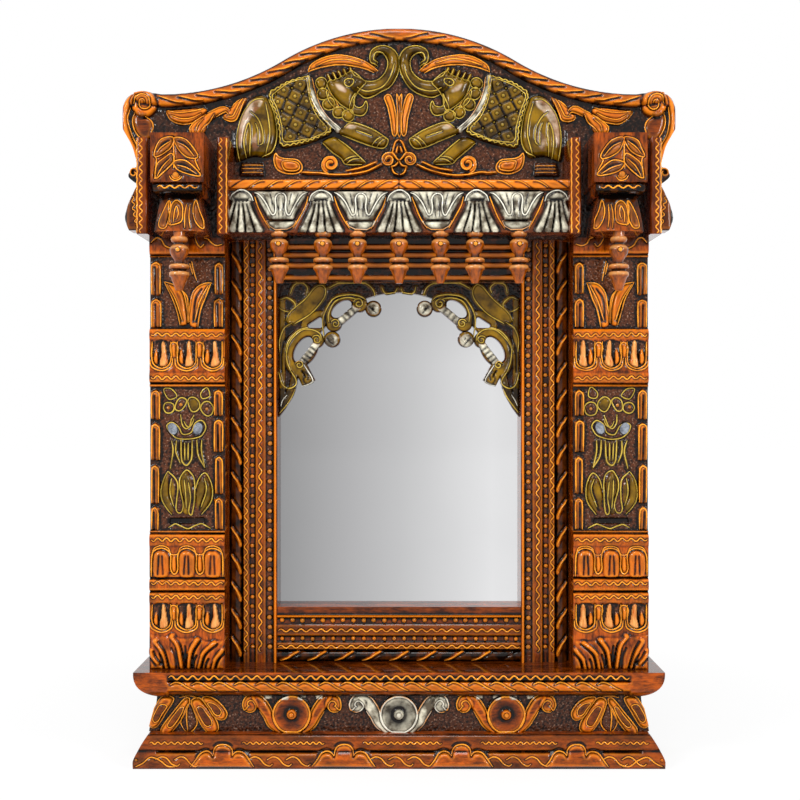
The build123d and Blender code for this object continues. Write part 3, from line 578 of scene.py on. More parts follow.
def carve(name, carving, node, material, mirrored=False, side_stain=0.3):
    """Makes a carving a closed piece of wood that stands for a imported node."""
    carving.settle()
    bm = closed_board(carving, back_of(node))
    board_points = len(bm.verts)
    lay_beads(bm, carving)
    beaded_points = len(bm.verts)
    bmesh.ops.scale(bm, vec=(mm, mm, mm), verts=bm.verts)
    cord_parts = lay_cords(bm, carving)
    if mirrored:
        bmesh.ops.scale(bm, vec=(-1, 1, 1), verts=bm.verts)
        bmesh.ops.reverse_faces(bm, faces=bm.faces)
    where = places(bm) / mm
    x = where[:, 0] * (-1 if mirrored else 1)
    z = where[:, 2]
    gilt = np.ones(len(where))
    gilt[:beaded_points] = bead_gilt
    gilt[:board_points] = 0
    on_face = -where[:, 1] > carving.sample(carving.depth, x, z) - tone_edge / 2
    piece = finish_piece(name, bm, material, (node,))
    give(piece.data, "gilt", gilt)
    for tone, field in carving.tone.items():
        on_side = side_stain if tone == "stain_and_shade" else 0.0
        values = np.where(on_face, carving.sample(field, x, z), on_side)
        if tone in ("stain_and_shade", "wear_and_highlight"):
            values[board_points:] = 0
        for own, part in cord_parts:
            if own:
                values[part] = own == tone
        give(piece.data, tone, values)


def lathe(bm, profile, centre):
    """Turns a profile of (radius, height) about an upright axis."""
    made = [bm.verts.new((centre[0] + r, centre[1], h)) for r, h in profile]
    edges = [bm.edges.new(pair) for pair in zip(made, made[1:])]
    bmesh.ops.spin(bm, geom=made + edges, cent=(*centre, 0), axis=(0, 0, 1), angle=tau,
                   steps=turned_sides, use_merge=True)


# Finishes

def rgb(red, green, blue):
    """A colour from its screen values."""
    def linear(value):
        value = value / 255
        return value / 12.92 if value <= 0.04045 else ((value + 0.055) / 1.055) ** 2.4

    return (linear(red), linear(green), linear(blue), 1)


DARK_WOOD = rgb(58, 20, 3)
BRIGHT_WOOD = rgb(197, 88, 6)
WEAR_AND_HIGHLIGHT_WOOD = rgb(240, 134, 24)
PAINTED_HIGHLIGHT_WOOD = rgb(240, 172, 96)
SMEAR_AND_SHADE = rgb(44, 14, 3)
STAIN_AND_SHADE = rgb(10, 3, 1)
GROUND = rgb(104, 54, 26)
GROUND_SPECK = rgb(196, 156, 130)
OLIVE = rgb(58, 40, 0)
PALE_OLIVE = rgb(140, 104, 4)
SILVER = rgb(92, 82, 66)
PALE_SILVER = rgb(230, 224, 200)
GILT = rgb(255, 164, 44)
OLIVE_GILT = rgb(208, 176, 70)
SILVER_GILT = rgb(244, 240, 222)


class Finish:
    """A material, with short ways to add the nodes of its pattern."""

    def __init__(self, name, **sockets):
        self.material = bpy.data.materials.new(name)
        self.material.use_nodes = True
        self.tree = self.material.node_tree
        self.shader = self.tree.nodes["Principled BSDF"]
        for socket, value in sockets.items():
            self.shader.inputs[socket.replace("_", " ")].default_value = value

    def add(self, kind, **settings):
        node = self.tree.nodes.new(kind)
        for key, value in settings.items():
            setattr(node, key, value)
        return node

    def join(self, output, entry):
        self.tree.links.new(output, entry)

    def place(self, stretch=(1, 1, 1)):
        """Object coordinates, stretched for the grain."""
        source = self.add("ShaderNodeTexCoord")
        mapping = self.add("ShaderNodeMapping")
        mapping.inputs["Scale"].default_value = stretch
        self.join(source.outputs["Object"], mapping.inputs["Vector"])
        return mapping.outputs["Vector"]

    def noise(self, scale, detail=3, stretch=(1, 1, 1), rough=0.55):
        node = self.add("ShaderNodeTexNoise")
        node.inputs["Scale"].default_value = scale
        node.inputs["Detail"].default_value = detail
        node.inputs["Roughness"].default_value = rough
        self.join(self.place(stretch), node.inputs["Vector"])
        return node.outputs["Fac"]

    def ramp(self, factor, *stops):
        """A colour ramp with stops of (place, colour)."""
        node = self.add("ShaderNodeValToRGB")
        elements = node.color_ramp.elements
        while len(elements) < len(stops):
            elements.new(0.5)
        for element, (place, colour) in zip(elements, stops):
            element.position = place
            element.color = colour
        self.join(factor, node.inputs["Fac"])
        return node.outputs["Color"]

    def spread(self, factor, low, high, start=0.0, end=1.0):
        """A value moved from the range low to high into the range start to end."""
        node = self.add("ShaderNodeMapRange")
        ends = {"From Min": low, "From Max": high, "To Min": start, "To Max": end}
        for entry, value in ends.items():
            node.inputs[entry].default_value = value
        self.join(factor, node.inputs["Value"])
        return node.outputs["Result"]

    def reckon(self, operation, first, second):
        """The outcome of a sum with two values, kept between 0 and 1."""
        node = self.add("ShaderNodeMath", operation=operation, use_clamp=True)
        self.join(first, node.inputs[0])
        self.join(second, node.inputs[1])
        return node.outputs["Value"]

    def mix(self, factor, first, second):
        """Two colours mixed; each is an output or a plain colour."""
        node = self.add("ShaderNodeMix", data_type="RGBA")
        self.join(factor, node.inputs[0])
        for entry, colour in ((6, first), (7, second)):
            if isinstance(colour, tuple):
                node.inputs[entry].default_value = colour
            else:
                self.join(colour, node.inputs[entry])
        return node.outputs[2]

    def mark(self, name):
        """A value stored on the points of the mesh."""
        return self.add("ShaderNodeAttribute", attribute_name=name).outputs["Fac"]

    def bump(self, height, strength, reach):
        node = self.add("ShaderNodeBump")
        node.inputs["Strength"].default_value = strength
        node.inputs["Distance"].default_value = reach
        self.join(height, node.inputs["Height"])
        self.join(node.outputs["Normal"], self.shader.inputs["Normal"])


def lacquered_wood(name, along, smear_and_shade=0.8):
    """Carved wood under brown stain and a glossy lacquer, with its grain along an axis. A smear level above
    0.8 spreads the dark smears wider as painted shade.
    """
    stretch = {"x": (0.18, 1, 1), "z": (1, 1, 0.18)}[along]
    finish = Finish(name, Coat_Weight=1.0, Coat_Roughness=0.08, Coat_IOR=1.3, Specular_IOR_Level=0.03)
    grain = finish.noise(420, 5, stretch, 0.65)
    smears = finish.noise(95, 5, tuple(share**0.5 for share in stretch), 0.7)
    wood = finish.ramp(grain, (0.28, DARK_WOOD), (0.56, BRIGHT_WOOD))
    wood = finish.mix(finish.spread(smears, 0.44, 0.63, (smear_and_shade - 0.8) * 2, 0.85), wood, SMEAR_AND_SHADE)
    # Raised parts turn pale orange for wear and as a painted highlight.
    wood = finish.mix(finish.spread(finish.mark("wear_and_highlight"), 0, 1, 0, 0.85), wood, WEAR_AND_HIGHLIGHT_WOOD)
    # Painted highlight: the bright coat turns the wood pale.
    wood = finish.mix(finish.mark("bright"), wood, finish.ramp(grain, (0.3, BRIGHT_WOOD),
    (0.6, PAINTED_HIGHLIGHT_WOOD)))
    fleck = finish.noise(700, 2)
    ground = finish.ramp(fleck, (0.4, GROUND), (0.58, GROUND), (0.68, GROUND_SPECK))
    wood = finish.mix(finish.mark("ground"), wood, ground)
    olive = finish.ramp(finish.noise(70, 3), (0.35, OLIVE), (0.65, PALE_OLIVE))
    wood = finish.mix(finish.mark("olive"), wood, olive)
    silver = finish.ramp(finish.noise(95, 4), (0.38, SILVER), (0.62, PALE_SILVER))
    wood = finish.mix(finish.mark("silver"), wood, silver)
    gilt = finish.mix(finish.mark("olive"), GILT, OLIVE_GILT)
    gilt = finish.mix(finish.mark("silver"), gilt, SILVER_GILT)
    patchy = finish.spread(finish.noise(130, 2), 0.3, 0.7, 0.85, 1.15)
    # The dark tone mixes real staining with painted shade in hollows, under overhangs and over the soffit.
    stain_and_shade = finish.reckon("MULTIPLY", finish.mark("stain_and_shade"), patchy)
    wood = finish.mix(stain_and_shade, wood, STAIN_AND_SHADE)
    rubbed = finish.spread(finish.noise(90, 3), 0.32, 0.58, 0.4, 1)
    wood = finish.mix(finish.reckon("MULTIPLY", finish.mark("gilt"), rubbed), wood, gilt)
    finish.join(wood, finish.shader.inputs["Base Color"])
    rough = finish.spread(finish.reckon("ADD", grain, finish.mark("stain_and_shade")), 0.3, 1.3, 0.2, 0.45)
    finish.join(rough, finish.shader.inputs["Roughness"])
    finish.bump(grain, 0.25, 0.0003)
    return finish.material


def turned_wood():
    """The closely polished wood of the turned drops."""
    finish = Finish("turned_wood", Coat_Weight=1.0, Coat_Roughness=0.09, Coat_IOR=1.42,
                    Specular_IOR_Level=0.05)
    grain = finish.noise(300, 4, (1, 1, 0.3), 0.6)
    wood = finish.ramp(grain, (0.3, rgb(84, 36, 2)), (0.62, rgb(178, 86, 4)))
    # Pale rings on the drops are painted highlights.
    wood = finish.mix(finish.mark("bright"), wood, PAINTED_HIGHLIGHT_WOOD)
    wood = finish.mix(finish.mark("stain_and_shade"), wood, STAIN_AND_SHADE)
    wood = finish.mix(finish.mark("gilt"), wood, GILT)
    finish.join(wood, finish.shader.inputs["Base Color"])
    finish.join(finish.spread(grain, 0.2, 0.8, 0.16, 0.3), finish.shader.inputs["Roughness"])
    finish.bump(grain, 0.12, 0.0002)
    return finish.material


def plain_wood():
    """Bare boards at the back, rubbed with thin stain."""
    finish = Finish("plain_wood", Coat_Weight=0.05)
    grain = finish.noise(260, 6, (1, 1, 0.08), 0.7)
    wood = finish.ramp(grain, (0.3, rgb(86, 52, 30)), (0.7, rgb(146, 98, 60)))
    finish.join(wood, finish.shader.inputs["Base Color"])
    finish.join(finish.spread(grain, 0.2, 0.8, 0.55, 0.8), finish.shader.inputs["Roughness"])
    finish.bump(grain, 0.4, 0.0004)
    return finish.material


def metal(name, dark, bright, roughness):
    """Brass or steel with fine scratches and a little tarnish."""
    finish = Finish(name, Metallic=1.0)
    tarnish = finish.noise(180, 5, (1, 1, 1), 0.7)
    finish.join(finish.ramp(tarnish, (0.3, dark), (0.65, bright)), finish.shader.inputs["Base Color"])
    rough = finish.spread(tarnish, 0.2, 0.8, roughness + 0.15, roughness - 0.08)
    finish.join(rough, finish.shader.inputs["Roughness"])
    finish.bump(tarnish, 0.1, 0.0002)
    return finish.material


def painted_reflection_glass():
    """The mirror: silvering coloured with a painted reflection of the studio, darker towards its lower left
    and along its top, with faint clouding.
    """
    finish = Finish("painted_reflection_glass", Metallic=1.0, Coat_Weight=0.3, Coat_Roughness=0.02)
    turn = finish.add("ShaderNodeSeparateXYZ")
    finish.join(finish.place((1, 1, 1)), turn.inputs["Vector"])
    # Painted reflection: grey at the left, pale at the right.
    across = finish.spread(turn.outputs["X"], -0.105, 0.105, 0, 1)
    silver = finish.ramp(
        across,
        (0.0, rgb(144, 144, 145)),
        (0.5, rgb(192, 192, 193)),
        (0.88, rgb(226, 226, 227)),
        (1.0, rgb(222, 222, 223)),
    )
    # Painted reflection: darker along the top.
    top = finish.spread(turn.outputs["Z"], 0.33, 0.4, 0, 0.3)
    silver = finish.mix(top, silver, rgb(140, 140, 141))
    cloud = finish.noise(14, 2)
    silver = finish.mix(finish.spread(cloud, 0.4, 0.8, 0, 0.1), silver, rgb(176, 177, 180))
    finish.join(silver, finish.shader.inputs["Base Color"])
    finish.join(finish.spread(cloud, 0.3, 0.7, 0.05, 0.09), finish.shader.inputs["Roughness"])
    return finish.material


upright_wood = lacquered_wood("lacquered_wood_upright", "z")
level_wood = lacquered_wood("lacquered_wood_level", "x")
drop_wood = turned_wood()
# A darker copy of the upright wood, its smears spread as painted shade, for the cheek boards.
painted_shade_upright_wood = lacquered_wood("painted_shade_wood_upright", "z", 1.1)
back_wood = plain_wood()
brass = metal("brass", rgb(120, 82, 30), rgb(214, 168, 84), 0.3)
steel = metal("steel", rgb(84, 82, 80), rgb(176, 176, 178), 0.35)
mirror_with_painted_reflection = painted_reflection_glass()
inlay_silver = metal("inlay_silver", rgb(66, 70, 80), rgb(176, 182, 192), 0.14)


# Columns. Band heights and figures are pixels of the photograph, for the left column.

lotus_rows = ((340.5, 371), (603.6, 632.5))
lotus_middles = (161.2, 186.4, 212.4)
lotus_half = 9.4
lotus_bell = ((0.6, 1.5), (4.0, 1.5), (6.0, -14), (7.2, -8), (4.5, -4.6), (-1.0, -4.4), (-1.4, -10),
              (0.2, -16))
lotus_leaf = ((-5.0, 8), (-3.2, -15), (-3.4, -8), (-5.4, -7.4), (-7.4, -12))
lotus_slit = ((-2.4, 4), (-1.8, -12), (-2.6, -6))
lotus_bud = ((-3.2, 15), (-4, 7), (-2.6, 3), (0, 1.8), (2.6, 3), (4, 7), (3.2, 15))
lotus_drop = ((0, 5), (2, 9), (0, 17), (-2, 9))
petal_rows = (547.6, 577.4)
petal_middles = (161.3, 187.1, 212.8)
petal_half = 9.6
petal_drop = ((0, 6), (2.4, 14), (2, -8), (0, -5.5), (-2, -8), (-2.4, 14))


def lotus_lobes(carving, top, bottom):
    """Hanging lotus petals with small arched buds between them."""
    half = lotus_half
    sides = [(half, top + 1), (half + 0.3, (top + bottom) / 2), (half - 1.5, bottom - 6.5)]
    inner = [(half - 1.5, top + 1), *sides[1:]]
    outer = aside(sides[1:], 1.9, down=2.2)
    tip = bottom - 2.5
    for middle in lotus_middles:
        carving.cut(both_sides(sides, middle, tip), 2.2, 0.9)
        carving.swell(both_sides(inner, middle, tip), -1.2, 1.2, "ground")
        # The bells take the bright coat: a painted highlight down each lobe.
        carving.swell(hung(lotus_bell, middle, top, bottom), 2.6, 1.8, "bright")
        carving.swell(hung(lotus_leaf, middle, top, bottom), 1.8, 1.4)
        carving.cut(hung(lotus_slit, middle, top, bottom), 1.4, 1.0)
        carving.trace(both_sides(sides, middle, tip), 0.62)
        carving.trace(both_sides(outer, middle, tip + 2.2), 0.6)
    for left, right in zip(lotus_middles, lotus_middles[1:]):
        middle = (left + right) / 2
        carving.trace(hung(lotus_bud, middle, top, bottom), 0.58)
        carving.swell(hung(lotus_drop, middle, top, bottom), 1.4, 1.6)


def arch_lobes(carving, top, bottom):
    """Standing petals under round arches, with drops hung between them."""
    half = petal_half
    gaps = [(left + right) / 2 for left, right in zip(petal_middles, petal_middles[1:])]
    line = [(petal_middles[0] - half - 0.5, bottom - 1)]
    for index, middle in enumerate(petal_middles):
        line += both_sides([(half, top + 9), (half * 0.7, top + 3)], middle, top + 0.8)
        if index < len(gaps):
            line += both_sides([(3.6, bottom - 8)], gaps[index], bottom - 3.2)
    line.append((petal_middles[-1] + half + 0.5, bottom - 1))
    petal = [(half - 3, bottom - 1.5), (half - 1.6, top + 11), (half * 0.5, top + 4.5)]
    for middle in petal_middles:
        carving.swell(both_sides(petal, middle, top + 3), 2.6, 4)
        for lean in (-0.3, 0.25):
            slit = [(middle + half * lean * 0.6, top + 8), (middle + half * lean, bottom - 3)]
            carving.cut(slit, 1.7, 1.3)
    for gap in gaps:
        carving.swell(hung(petal_drop, gap, top, bottom), 2.0, 2.2)
    carving.trace(line, 0.62)
    carving.trace([(x, y - 2.4) for x, y in line if y < (top + bottom) / 2], 0.5)


def bar(carving, left, right, top, bottom):
    """A half-round bar with an arched outline and a slit, at the side of a panel."""
    middle = (left + right) / 2
    half = (right - left) / 2
    carving.swell(both_sides([(half, bottom), (half, top + 3)], middle, top), 3.2, 3.4, curve=False)
    arch = [(half - 1.4, bottom - 1), (half - 1.3, top + 8), (half - 2.6, top + 3.6)]
    carving.trace(both_sides(arch, middle, top + 2.2), 0.62)
    carving.cut([(middle - 0.9, top + 6.5), (middle - 0.4, bottom - 1)], 3.0, 1.8)
    carving.cut([(middle + 2.0, top + 8), (middle + 2.2, bottom - 1)], 1.3, 0.8)


column_left_px = 149.9
column_right_px = 223.9
column_bands = (
    (235.0, 253.0),
    (330.5, 339.3),
    (372.6, 381.6),
    (534.6, 546.2),
    (579.4, 590.2),
    (593.0, 602.8),
)
column_panels = ((256.5, 329.3), (386.0, 531.5))
column_grooves = (255.0, 383.8, 533.2, 578.0, 591.4)
zigzag_rows = (334.6, 377.6, 539.4, 582.8, 596.6)
side_bars = (
    (150.2, 161.4, 261.0, 295.0),
    (150.2, 161.6, 298.2, 328.0),
    (213.8, 223.6, 261.5, 294.0),
    (213.4, 223.6, 297.6, 327.6),
    (150.2, 160.6, 389.0, 419.5),
    (150.2, 160.4, 422.4, 460.6),
    (150.2, 159.6, 464.0, 503.6),
    (150.2, 159.4, 505.8, 530.5),
    (213.4, 223.6, 389.0, 416.0),
    (213.2, 223.6, 418.8, 452.4),
    (214.6, 223.6, 455.6, 494.0),
    (214.4, 223.6, 497.0, 530.0),
)
sprig_left = ((163.7, 281.6), (171.5, 284.5), (178.2, 288.6), (183.4, 295), (186, 308), (187.1, 322.6),
              (180.4, 325), (178.5, 314), (173.4, 298.4), (167.6, 289))
sprig_right = ((211, 282.6), (206.4, 297), (200.8, 309.6), (197.4, 326.4), (189.4, 324.8), (188.8, 310),
               (190.8, 297), (194.4, 289.4), (200.2, 284.6))
sprig_lines = (
    ((163.7, 281.6), (171.9, 297.6), (176.2, 311), (180, 325)),
    ((163.7, 281.6), (175.9, 285.4), (183.1, 293.6), (186.4, 308), (187.3, 323)),
    ((211, 282.6), (205.5, 297.6), (200.4, 309.8), (197.3, 326.6)),
    ((211, 282.6), (200.4, 284.3), (192.8, 293), (190, 308), (187.3, 323)),
    ((166.6, 284.4), (175.6, 299.5), (182.6, 320.6)),
    ((208.4, 285.4), (200.2, 301), (194.6, 321)),
    ((180.6, 289), (186.4, 297.4), (188, 312), (188.6, 322)),
    ((191.2, 260.8), (193, 269), (195.8, 280.4)),
    ((189.4, 263), (192.2, 274)),
)
sprig_slits = (
    ((168.4, 288), (175.4, 300), (180.4, 322)),
    ((206, 288.4), (199.8, 303), (196, 322)),
    ((201.6, 289), (195.4, 300), (193, 322)),
)
scroll_waves = (
    ((151.5, 243), (154, 240), (157.6, 237.6), (161.8, 240.2), (165, 245.6), (170.4, 248.2), (174, 247)),
    ((190.6, 237.2), (194.2, 237.4), (197.3, 243.5), (200.8, 247), (204, 244)),
    ((204, 238), (208.4, 239), (211.8, 243.5), (216.7, 245.9), (222.6, 244.4)),
)
acanthus_hollows = (
    ((161, 655), (164, 661), (165, 668)),
    ((172, 648), (175.4, 656), (176.4, 668)),
    ((185, 646), (185.6, 656), (185.2, 668)),
    ((196.4, 655), (194.4, 661), (193.6, 668)),
    ((208.6, 659), (206.6, 663), (205.8, 668)),
)
acanthus_strokes = (
    ((150.8, 650.6), (153.6, 656.4), (158.6, 663)),
    ((156.2, 640.6), (162.1, 651), (166.8, 667)),
    ((172.4, 635.8), (178.5, 645.9), (181.9, 667)),
    ((197.8, 640), (190.8, 651.4), (188.7, 667)),
    ((214.6, 643.2), (202.9, 653.6), (198.9, 668)),
    ((223.4, 650), (215.7, 658.9), (212.8, 668.5)),
)
vase_ears = (
    ((163.2, 389.2), (170.8, 389), (176.2, 396), (168, 399)),
    ((200.2, 393), (206.7, 387.4), (209.2, 396), (202, 398.4)),
)
vase_buds = (
    ((163.2, 408), (165, 403.6), (169, 402.6), (173.2, 404.6), (173.6, 410), (170, 413), (165.6, 412.4)),
    ((174.8, 407.8), (176.6, 400.6), (181.4, 397.6), (186, 400.4), (184.2, 406), (180.4, 410.6),
     (176.6, 410.6)),
    ((187.4, 401.8), (190, 397.8), (194.4, 397.6), (199, 402), (199.2, 407.6), (195, 411.4),
     (190.6, 410.4)),
    ((200.4, 408), (203.4, 402.6), (209, 402.4), (213.2, 407.6), (211.6, 413.6), (207.4, 415.8),
     (202.6, 413.6)),
)
vase_tongue = ((180.4, 414.6), (181, 422.6), (183, 427), (185.8, 428.8), (189.2, 426), (191.2, 420),
               (193.6, 414.8))
vase_bowl = ((167.4, 424.6), (171.4, 423), (178, 427), (182, 434), (187, 434.6), (191.4, 432),
             (194, 424.6), (198.6, 421), (202.4, 421.2), (205.6, 426.4), (203.4, 432.4), (198.8, 436.6),
             (187.4, 439.2), (176.6, 438), (170, 433), (166.8, 427.4))
vase_neck_lines = (
    ((171.2, 440.6), (173.2, 451.8), (170, 468.6)),
    ((176.2, 440.4), (175.8, 452), (180, 463)),
    ((181, 440), (181.6, 458), (183.4, 463.4), (186.2, 465.4), (189.6, 463), (191.6, 457), (192.2, 440)),
    ((184.4, 443), (184.8, 460)),
    ((188.2, 443), (188, 460)),
    ((196.6, 440), (198, 455.6), (204.8, 467.6)),
    ((201.4, 440), (201.4, 452), (204.8, 467.6)),
)
vase_belly = ((167.6, 471.6), (163, 480), (160.4, 492), (162.6, 503), (171.4, 514.4), (186, 516.6),
              (201.6, 514.4), (210, 503), (211.6, 489), (208.6, 478.6), (204.4, 473.4), (199.4, 477.6),
              (195, 488), (193.4, 476), (186, 470.4), (179.4, 478), (174.6, 474.6))
vase_belly_lines = (
    ((167.6, 471.6), (163, 480), (160.4, 492), (162.6, 503), (171.6, 514.6)),
    ((167.6, 471.6), (174.8, 478), (177.4, 486), (176.6, 500), (175.6, 509), (177.8, 513), (181.4, 512),
     (183.4, 505), (180, 490.6), (179.6, 480), (183, 473), (186, 470.6), (190.6, 473.4), (193.6, 480),
     (194, 498), (192.4, 512), (190.6, 515), (188.6, 511.6), (190.4, 497), (188.8, 482)),
    ((195.4, 489), (198.4, 479), (204.4, 473.2), (209, 479), (211.7, 489), (210.4, 502), (201.4, 514.6)),
    ((171.6, 478.4), (170, 492), (173.4, 506)),
    ((204, 478.6), (206.6, 490), (201, 507)),
    ((184.6, 480), (185.4, 492), (186.6, 508)),
)
vase_petals = (
    ((167.6, 472.4), (163.4, 481), (161.2, 492), (163, 502), (170.6, 512.6), (173.4, 506), (168.6, 496),
     (168, 482)),
    ((186, 472), (181.8, 479), (181.4, 489), (184.4, 500), (182.4, 511), (187.6, 514), (190.4, 500),
     (191.6, 484)),
    ((204.4, 475), (208.4, 481), (210.6, 490), (209.4, 501), (202.6, 512.4), (200.6, 507), (205.8, 496),
     (206, 484)),
)
vase_leaves = (
    ((170.6, 478.6), (174.6, 486), (174.4, 498), (173, 504.6), (170, 496), (169.4, 486)),
    ((202.4, 478.6), (204.6, 488), (201.6, 499), (197.4, 509.6), (196.4, 496), (198.4, 485)),
)
vase_foot = ((169.4, 518), (203.6, 518), (204.6, 524.6), (168.4, 524.6))
vase_slot = (186.5, 521.0)
vase_slot_half = (17.2, 2.6)
vase_foot_line = ((167.8, 528), (171.4, 526), (175, 524.6), (181, 526.6), (187.4, 529), (194, 526.4),
                  (200.4, 524.4), (205, 526), (209.8, 528.6))
vase_middle_row = 458.5
vase_reach = 60.0
acanthus_leaf = ((150.5, 634.5), (166, 636.5), (172, 634), (180, 638), (198, 637.5), (206, 641),
                 (223.4, 640.5), (223.4, 668.6), (150.5, 668.6))
vase_seeds = ((168.2, 407.4), (180.4, 405), (206.8, 409))
scroll_band_row = 246.6
panel_drop = 4.2
turned_sides = 28
niche_places = (((172.8, 428.6), 0.35), ((197.8, 428.4), -0.35))
inlay_half_width = 3.7
inlay_half_height = 4.9
inlay_thickness = 1.0


def lay_inlays(side, inlays):
    """Two small oval mirrors let into the vase's bowl."""
    bm = bmesh.new()
    sign = -1 if side == "right" else 1
    for place, depth, lean in inlays:
        ring = bmesh.ops.create_circle(bm, cap_ends=True, segments=turned_sides, radius=1)["verts"]
        turn = Matrix.Rotation(-lean * sign, 4, "Y") @ Matrix.Rotation(pi / 2, 4, "X")
        size = Matrix.Diagonal((inlay_half_width, inlay_half_height, 1, 1))
        middle = Matrix.Translation((place[0] * sign, -depth - inlay_thickness / 2, place[1]))
        bmesh.ops.transform(bm, matrix=middle @ turn @ size, verts=ring)
        face = ring[0].link_faces[0]
        made = bmesh.ops.extrude_face_region(bm, geom=[face])["geom"]
        lifted = [item for item in made if isinstance(item, bmesh.types.BMVert)]
        bmesh.ops.translate(bm, vec=(0, inlay_thickness, 0), verts=lifted)
    bmesh.ops.recalc_face_normals(bm, faces=bm.faces)
    bmesh.ops.scale(bm, vec=(mm, mm, mm), verts=bm.verts)
    finish_piece(f"niche_inlays_{side}", bm, inlay_silver, (f"niche_mirror_{side}",), sharp=40)


def carve_column(side):
    """One column, carved on the front of a plain shaft."""
    node = f"column_{side}"
    front = front_of(node)
    carving = Carving("column", left_reach(node), span(node, 2), front - 1.4, side, plane=front - 2)
    z = carving.high
    for top, bottom in column_panels:
        within = eased((z - carving.level(bottom)) / 0.8) * eased((carving.level(top) - z) / 0.8)
        carving.depth += (front - panel_drop - carving.depth) * within
        carving.paint("ground", within)
    for top, bottom in column_bands:
        high, low = carving.level(top), carving.level(bottom)
        share = np.clip((z - low) / (high - low), 0, 1)
        carving.depth += 1.3 * np.sin(pi * share) ** 0.4 * ((z > low) & (z < high))
    for row in column_grooves:
        carving.cut([(column_left_px - 1, row), (column_right_px + 1, row)], 2.4, 2.6)
    for top, bottom in lotus_rows:
        lotus_lobes(carving, top, bottom)
    arch_lobes(carving, *petal_rows)
    for edges in side_bars:
        bar(carving, *edges)
    for row in zigzag_rows:
        carving.zigzag((column_left_px + 1.5, row), (column_right_px - 1, row + 0.8))
    carving.tone["stain_and_shade"] += 0.75 * eased((z - carving.level(scroll_band_row)) / 1.5)
    for line in scroll_waves:
        carving.trace(line, 0.6)
    carve_sprigs(carving)
    carve_acanthus(carving)
    carve_vase(carving)
    lay_inlays(side, [sink_inlay(carving, *niche) for niche in niche_places])
    carving.tone["olive"] *= abs(z - carving.level(vase_middle_row)) < vase_reach
    carving.stipple(0.55)
    carve(f"{node}_carving", carving, node, upright_wood, mirrored=side == "right")


def carve_sprigs(carving):
    """The two folded leaves of the upper panel."""
    for leaf in (sprig_left, sprig_right):
        carving.swell(leaf, 3.4, 3)
    for line in sprig_slits:
        carving.cut(line, 2.6, 1.5)
    for line in sprig_lines:
        carving.trace(line, 0.62)


def carve_acanthus(carving):
    """The leaf that spreads over the column's foot."""
    carving.swell(acanthus_leaf, 1.3, 3, curve=False)
    for stroke in acanthus_strokes:
        carving.cut(aside(stroke, 2.5, down=0.8), 3.4, 2.2)
        carving.cut(aside(stroke[1:], -2.5, down=2.4), 2.2, 1.4, stain_and_shade=0.6)
        carving.ridge(stroke, 4.6, 2.2, slim=(1.1, 0.5))
    for line in acanthus_hollows:
        carving.cut(line, 3.0, 1.6)


def carve_vase(carving):
    """The vase in the long panel, with its buds, bowl, neck, belly and foot."""
    for ear_leaf in vase_ears:
        carving.swell(ear_leaf, 1.4, 2, "ground")
        carving.trace(ear_leaf, 0.5, closed=True, tone="olive")
    for bud, tone in zip(vase_buds, ("ground", "ground", "olive", "ground")):
        carving.swell(bud, 1.6, 2.4, tone)
        carving.trace(bud, 0.6, closed=True, tone="olive")
    for seed in vase_seeds:
        carving.bead(seed, 1.5, -0.1)
    carving.swell(vase_bowl, 2.4, 2, "ground")
    carving.trace(vase_bowl, 0.62, closed=True, tone="olive")
    carving.swell(vase_belly, 1.6, 4.5, "ground")
    for petal in vase_petals:
        carving.swell(petal, 2.0, 2.4, "olive")
    for leaf in vase_leaves:
        carving.swell(leaf, 1.3, 1.6, "olive")
    carving.trace(vase_tongue, 0.55, tone="olive")
    carving.trace(aside(vase_tongue[1:-1], 2.4, down=-1.5), 0.5, tone="olive")
    for line in vase_neck_lines:
        carving.ridge(line, 2.6, 1.6, "olive")
    for line in vase_neck_lines + vase_belly_lines:
        carving.trace(line, 0.58, tone="olive")
    carving.swell(vase_foot, -2.6, 0.8, "ground", curve=False)
    x, z = carving.at(vase_slot)[0]
    half_width, half_height = vase_slot_half
    across = eased((half_width - abs(carving.wide - x)) / 0.8)
    carving.darken(across * eased((half_height - abs(carving.high - z)) / 0.7))
    carving.trace(vase_foot_line, 0.6, tone="olive")


def sink_inlay(carving, pixel, lean):
    """A leaning oval niche in the vase's bowl. Gives its place, depth and lean."""
    place = carving.at(pixel)[0]
    dx, dz = carving.wide - place[0], carving.high - place[1]
    along = dx * cos(lean) + dz * sin(lean)
    over = dz * cos(lean) - dx * sin(lean)
    gap = np.hypot(along / inlay_half_width, over / inlay_half_height)
    carving.depth -= 1.2 * eased((1.25 - gap) / 0.2)
    carving.darken(eased((1.35 - gap) / 0.15))
    return place, carving.sample(carving.depth, place[:1], place[1:])[0], lean


# Crest board. Figures are pixels of the photograph, for its left half.

crest_rope_radius = 4.6
rump = ((236.7, 160), (235.6, 144), (236.7, 131), (240.6, 116), (248.3, 101.6), (258, 95.6),
        (267.4, 97.6), (272.6, 108), (276, 124), (277.4, 138), (273.6, 151), (267, 157), (254, 155.8),
        (241, 160))
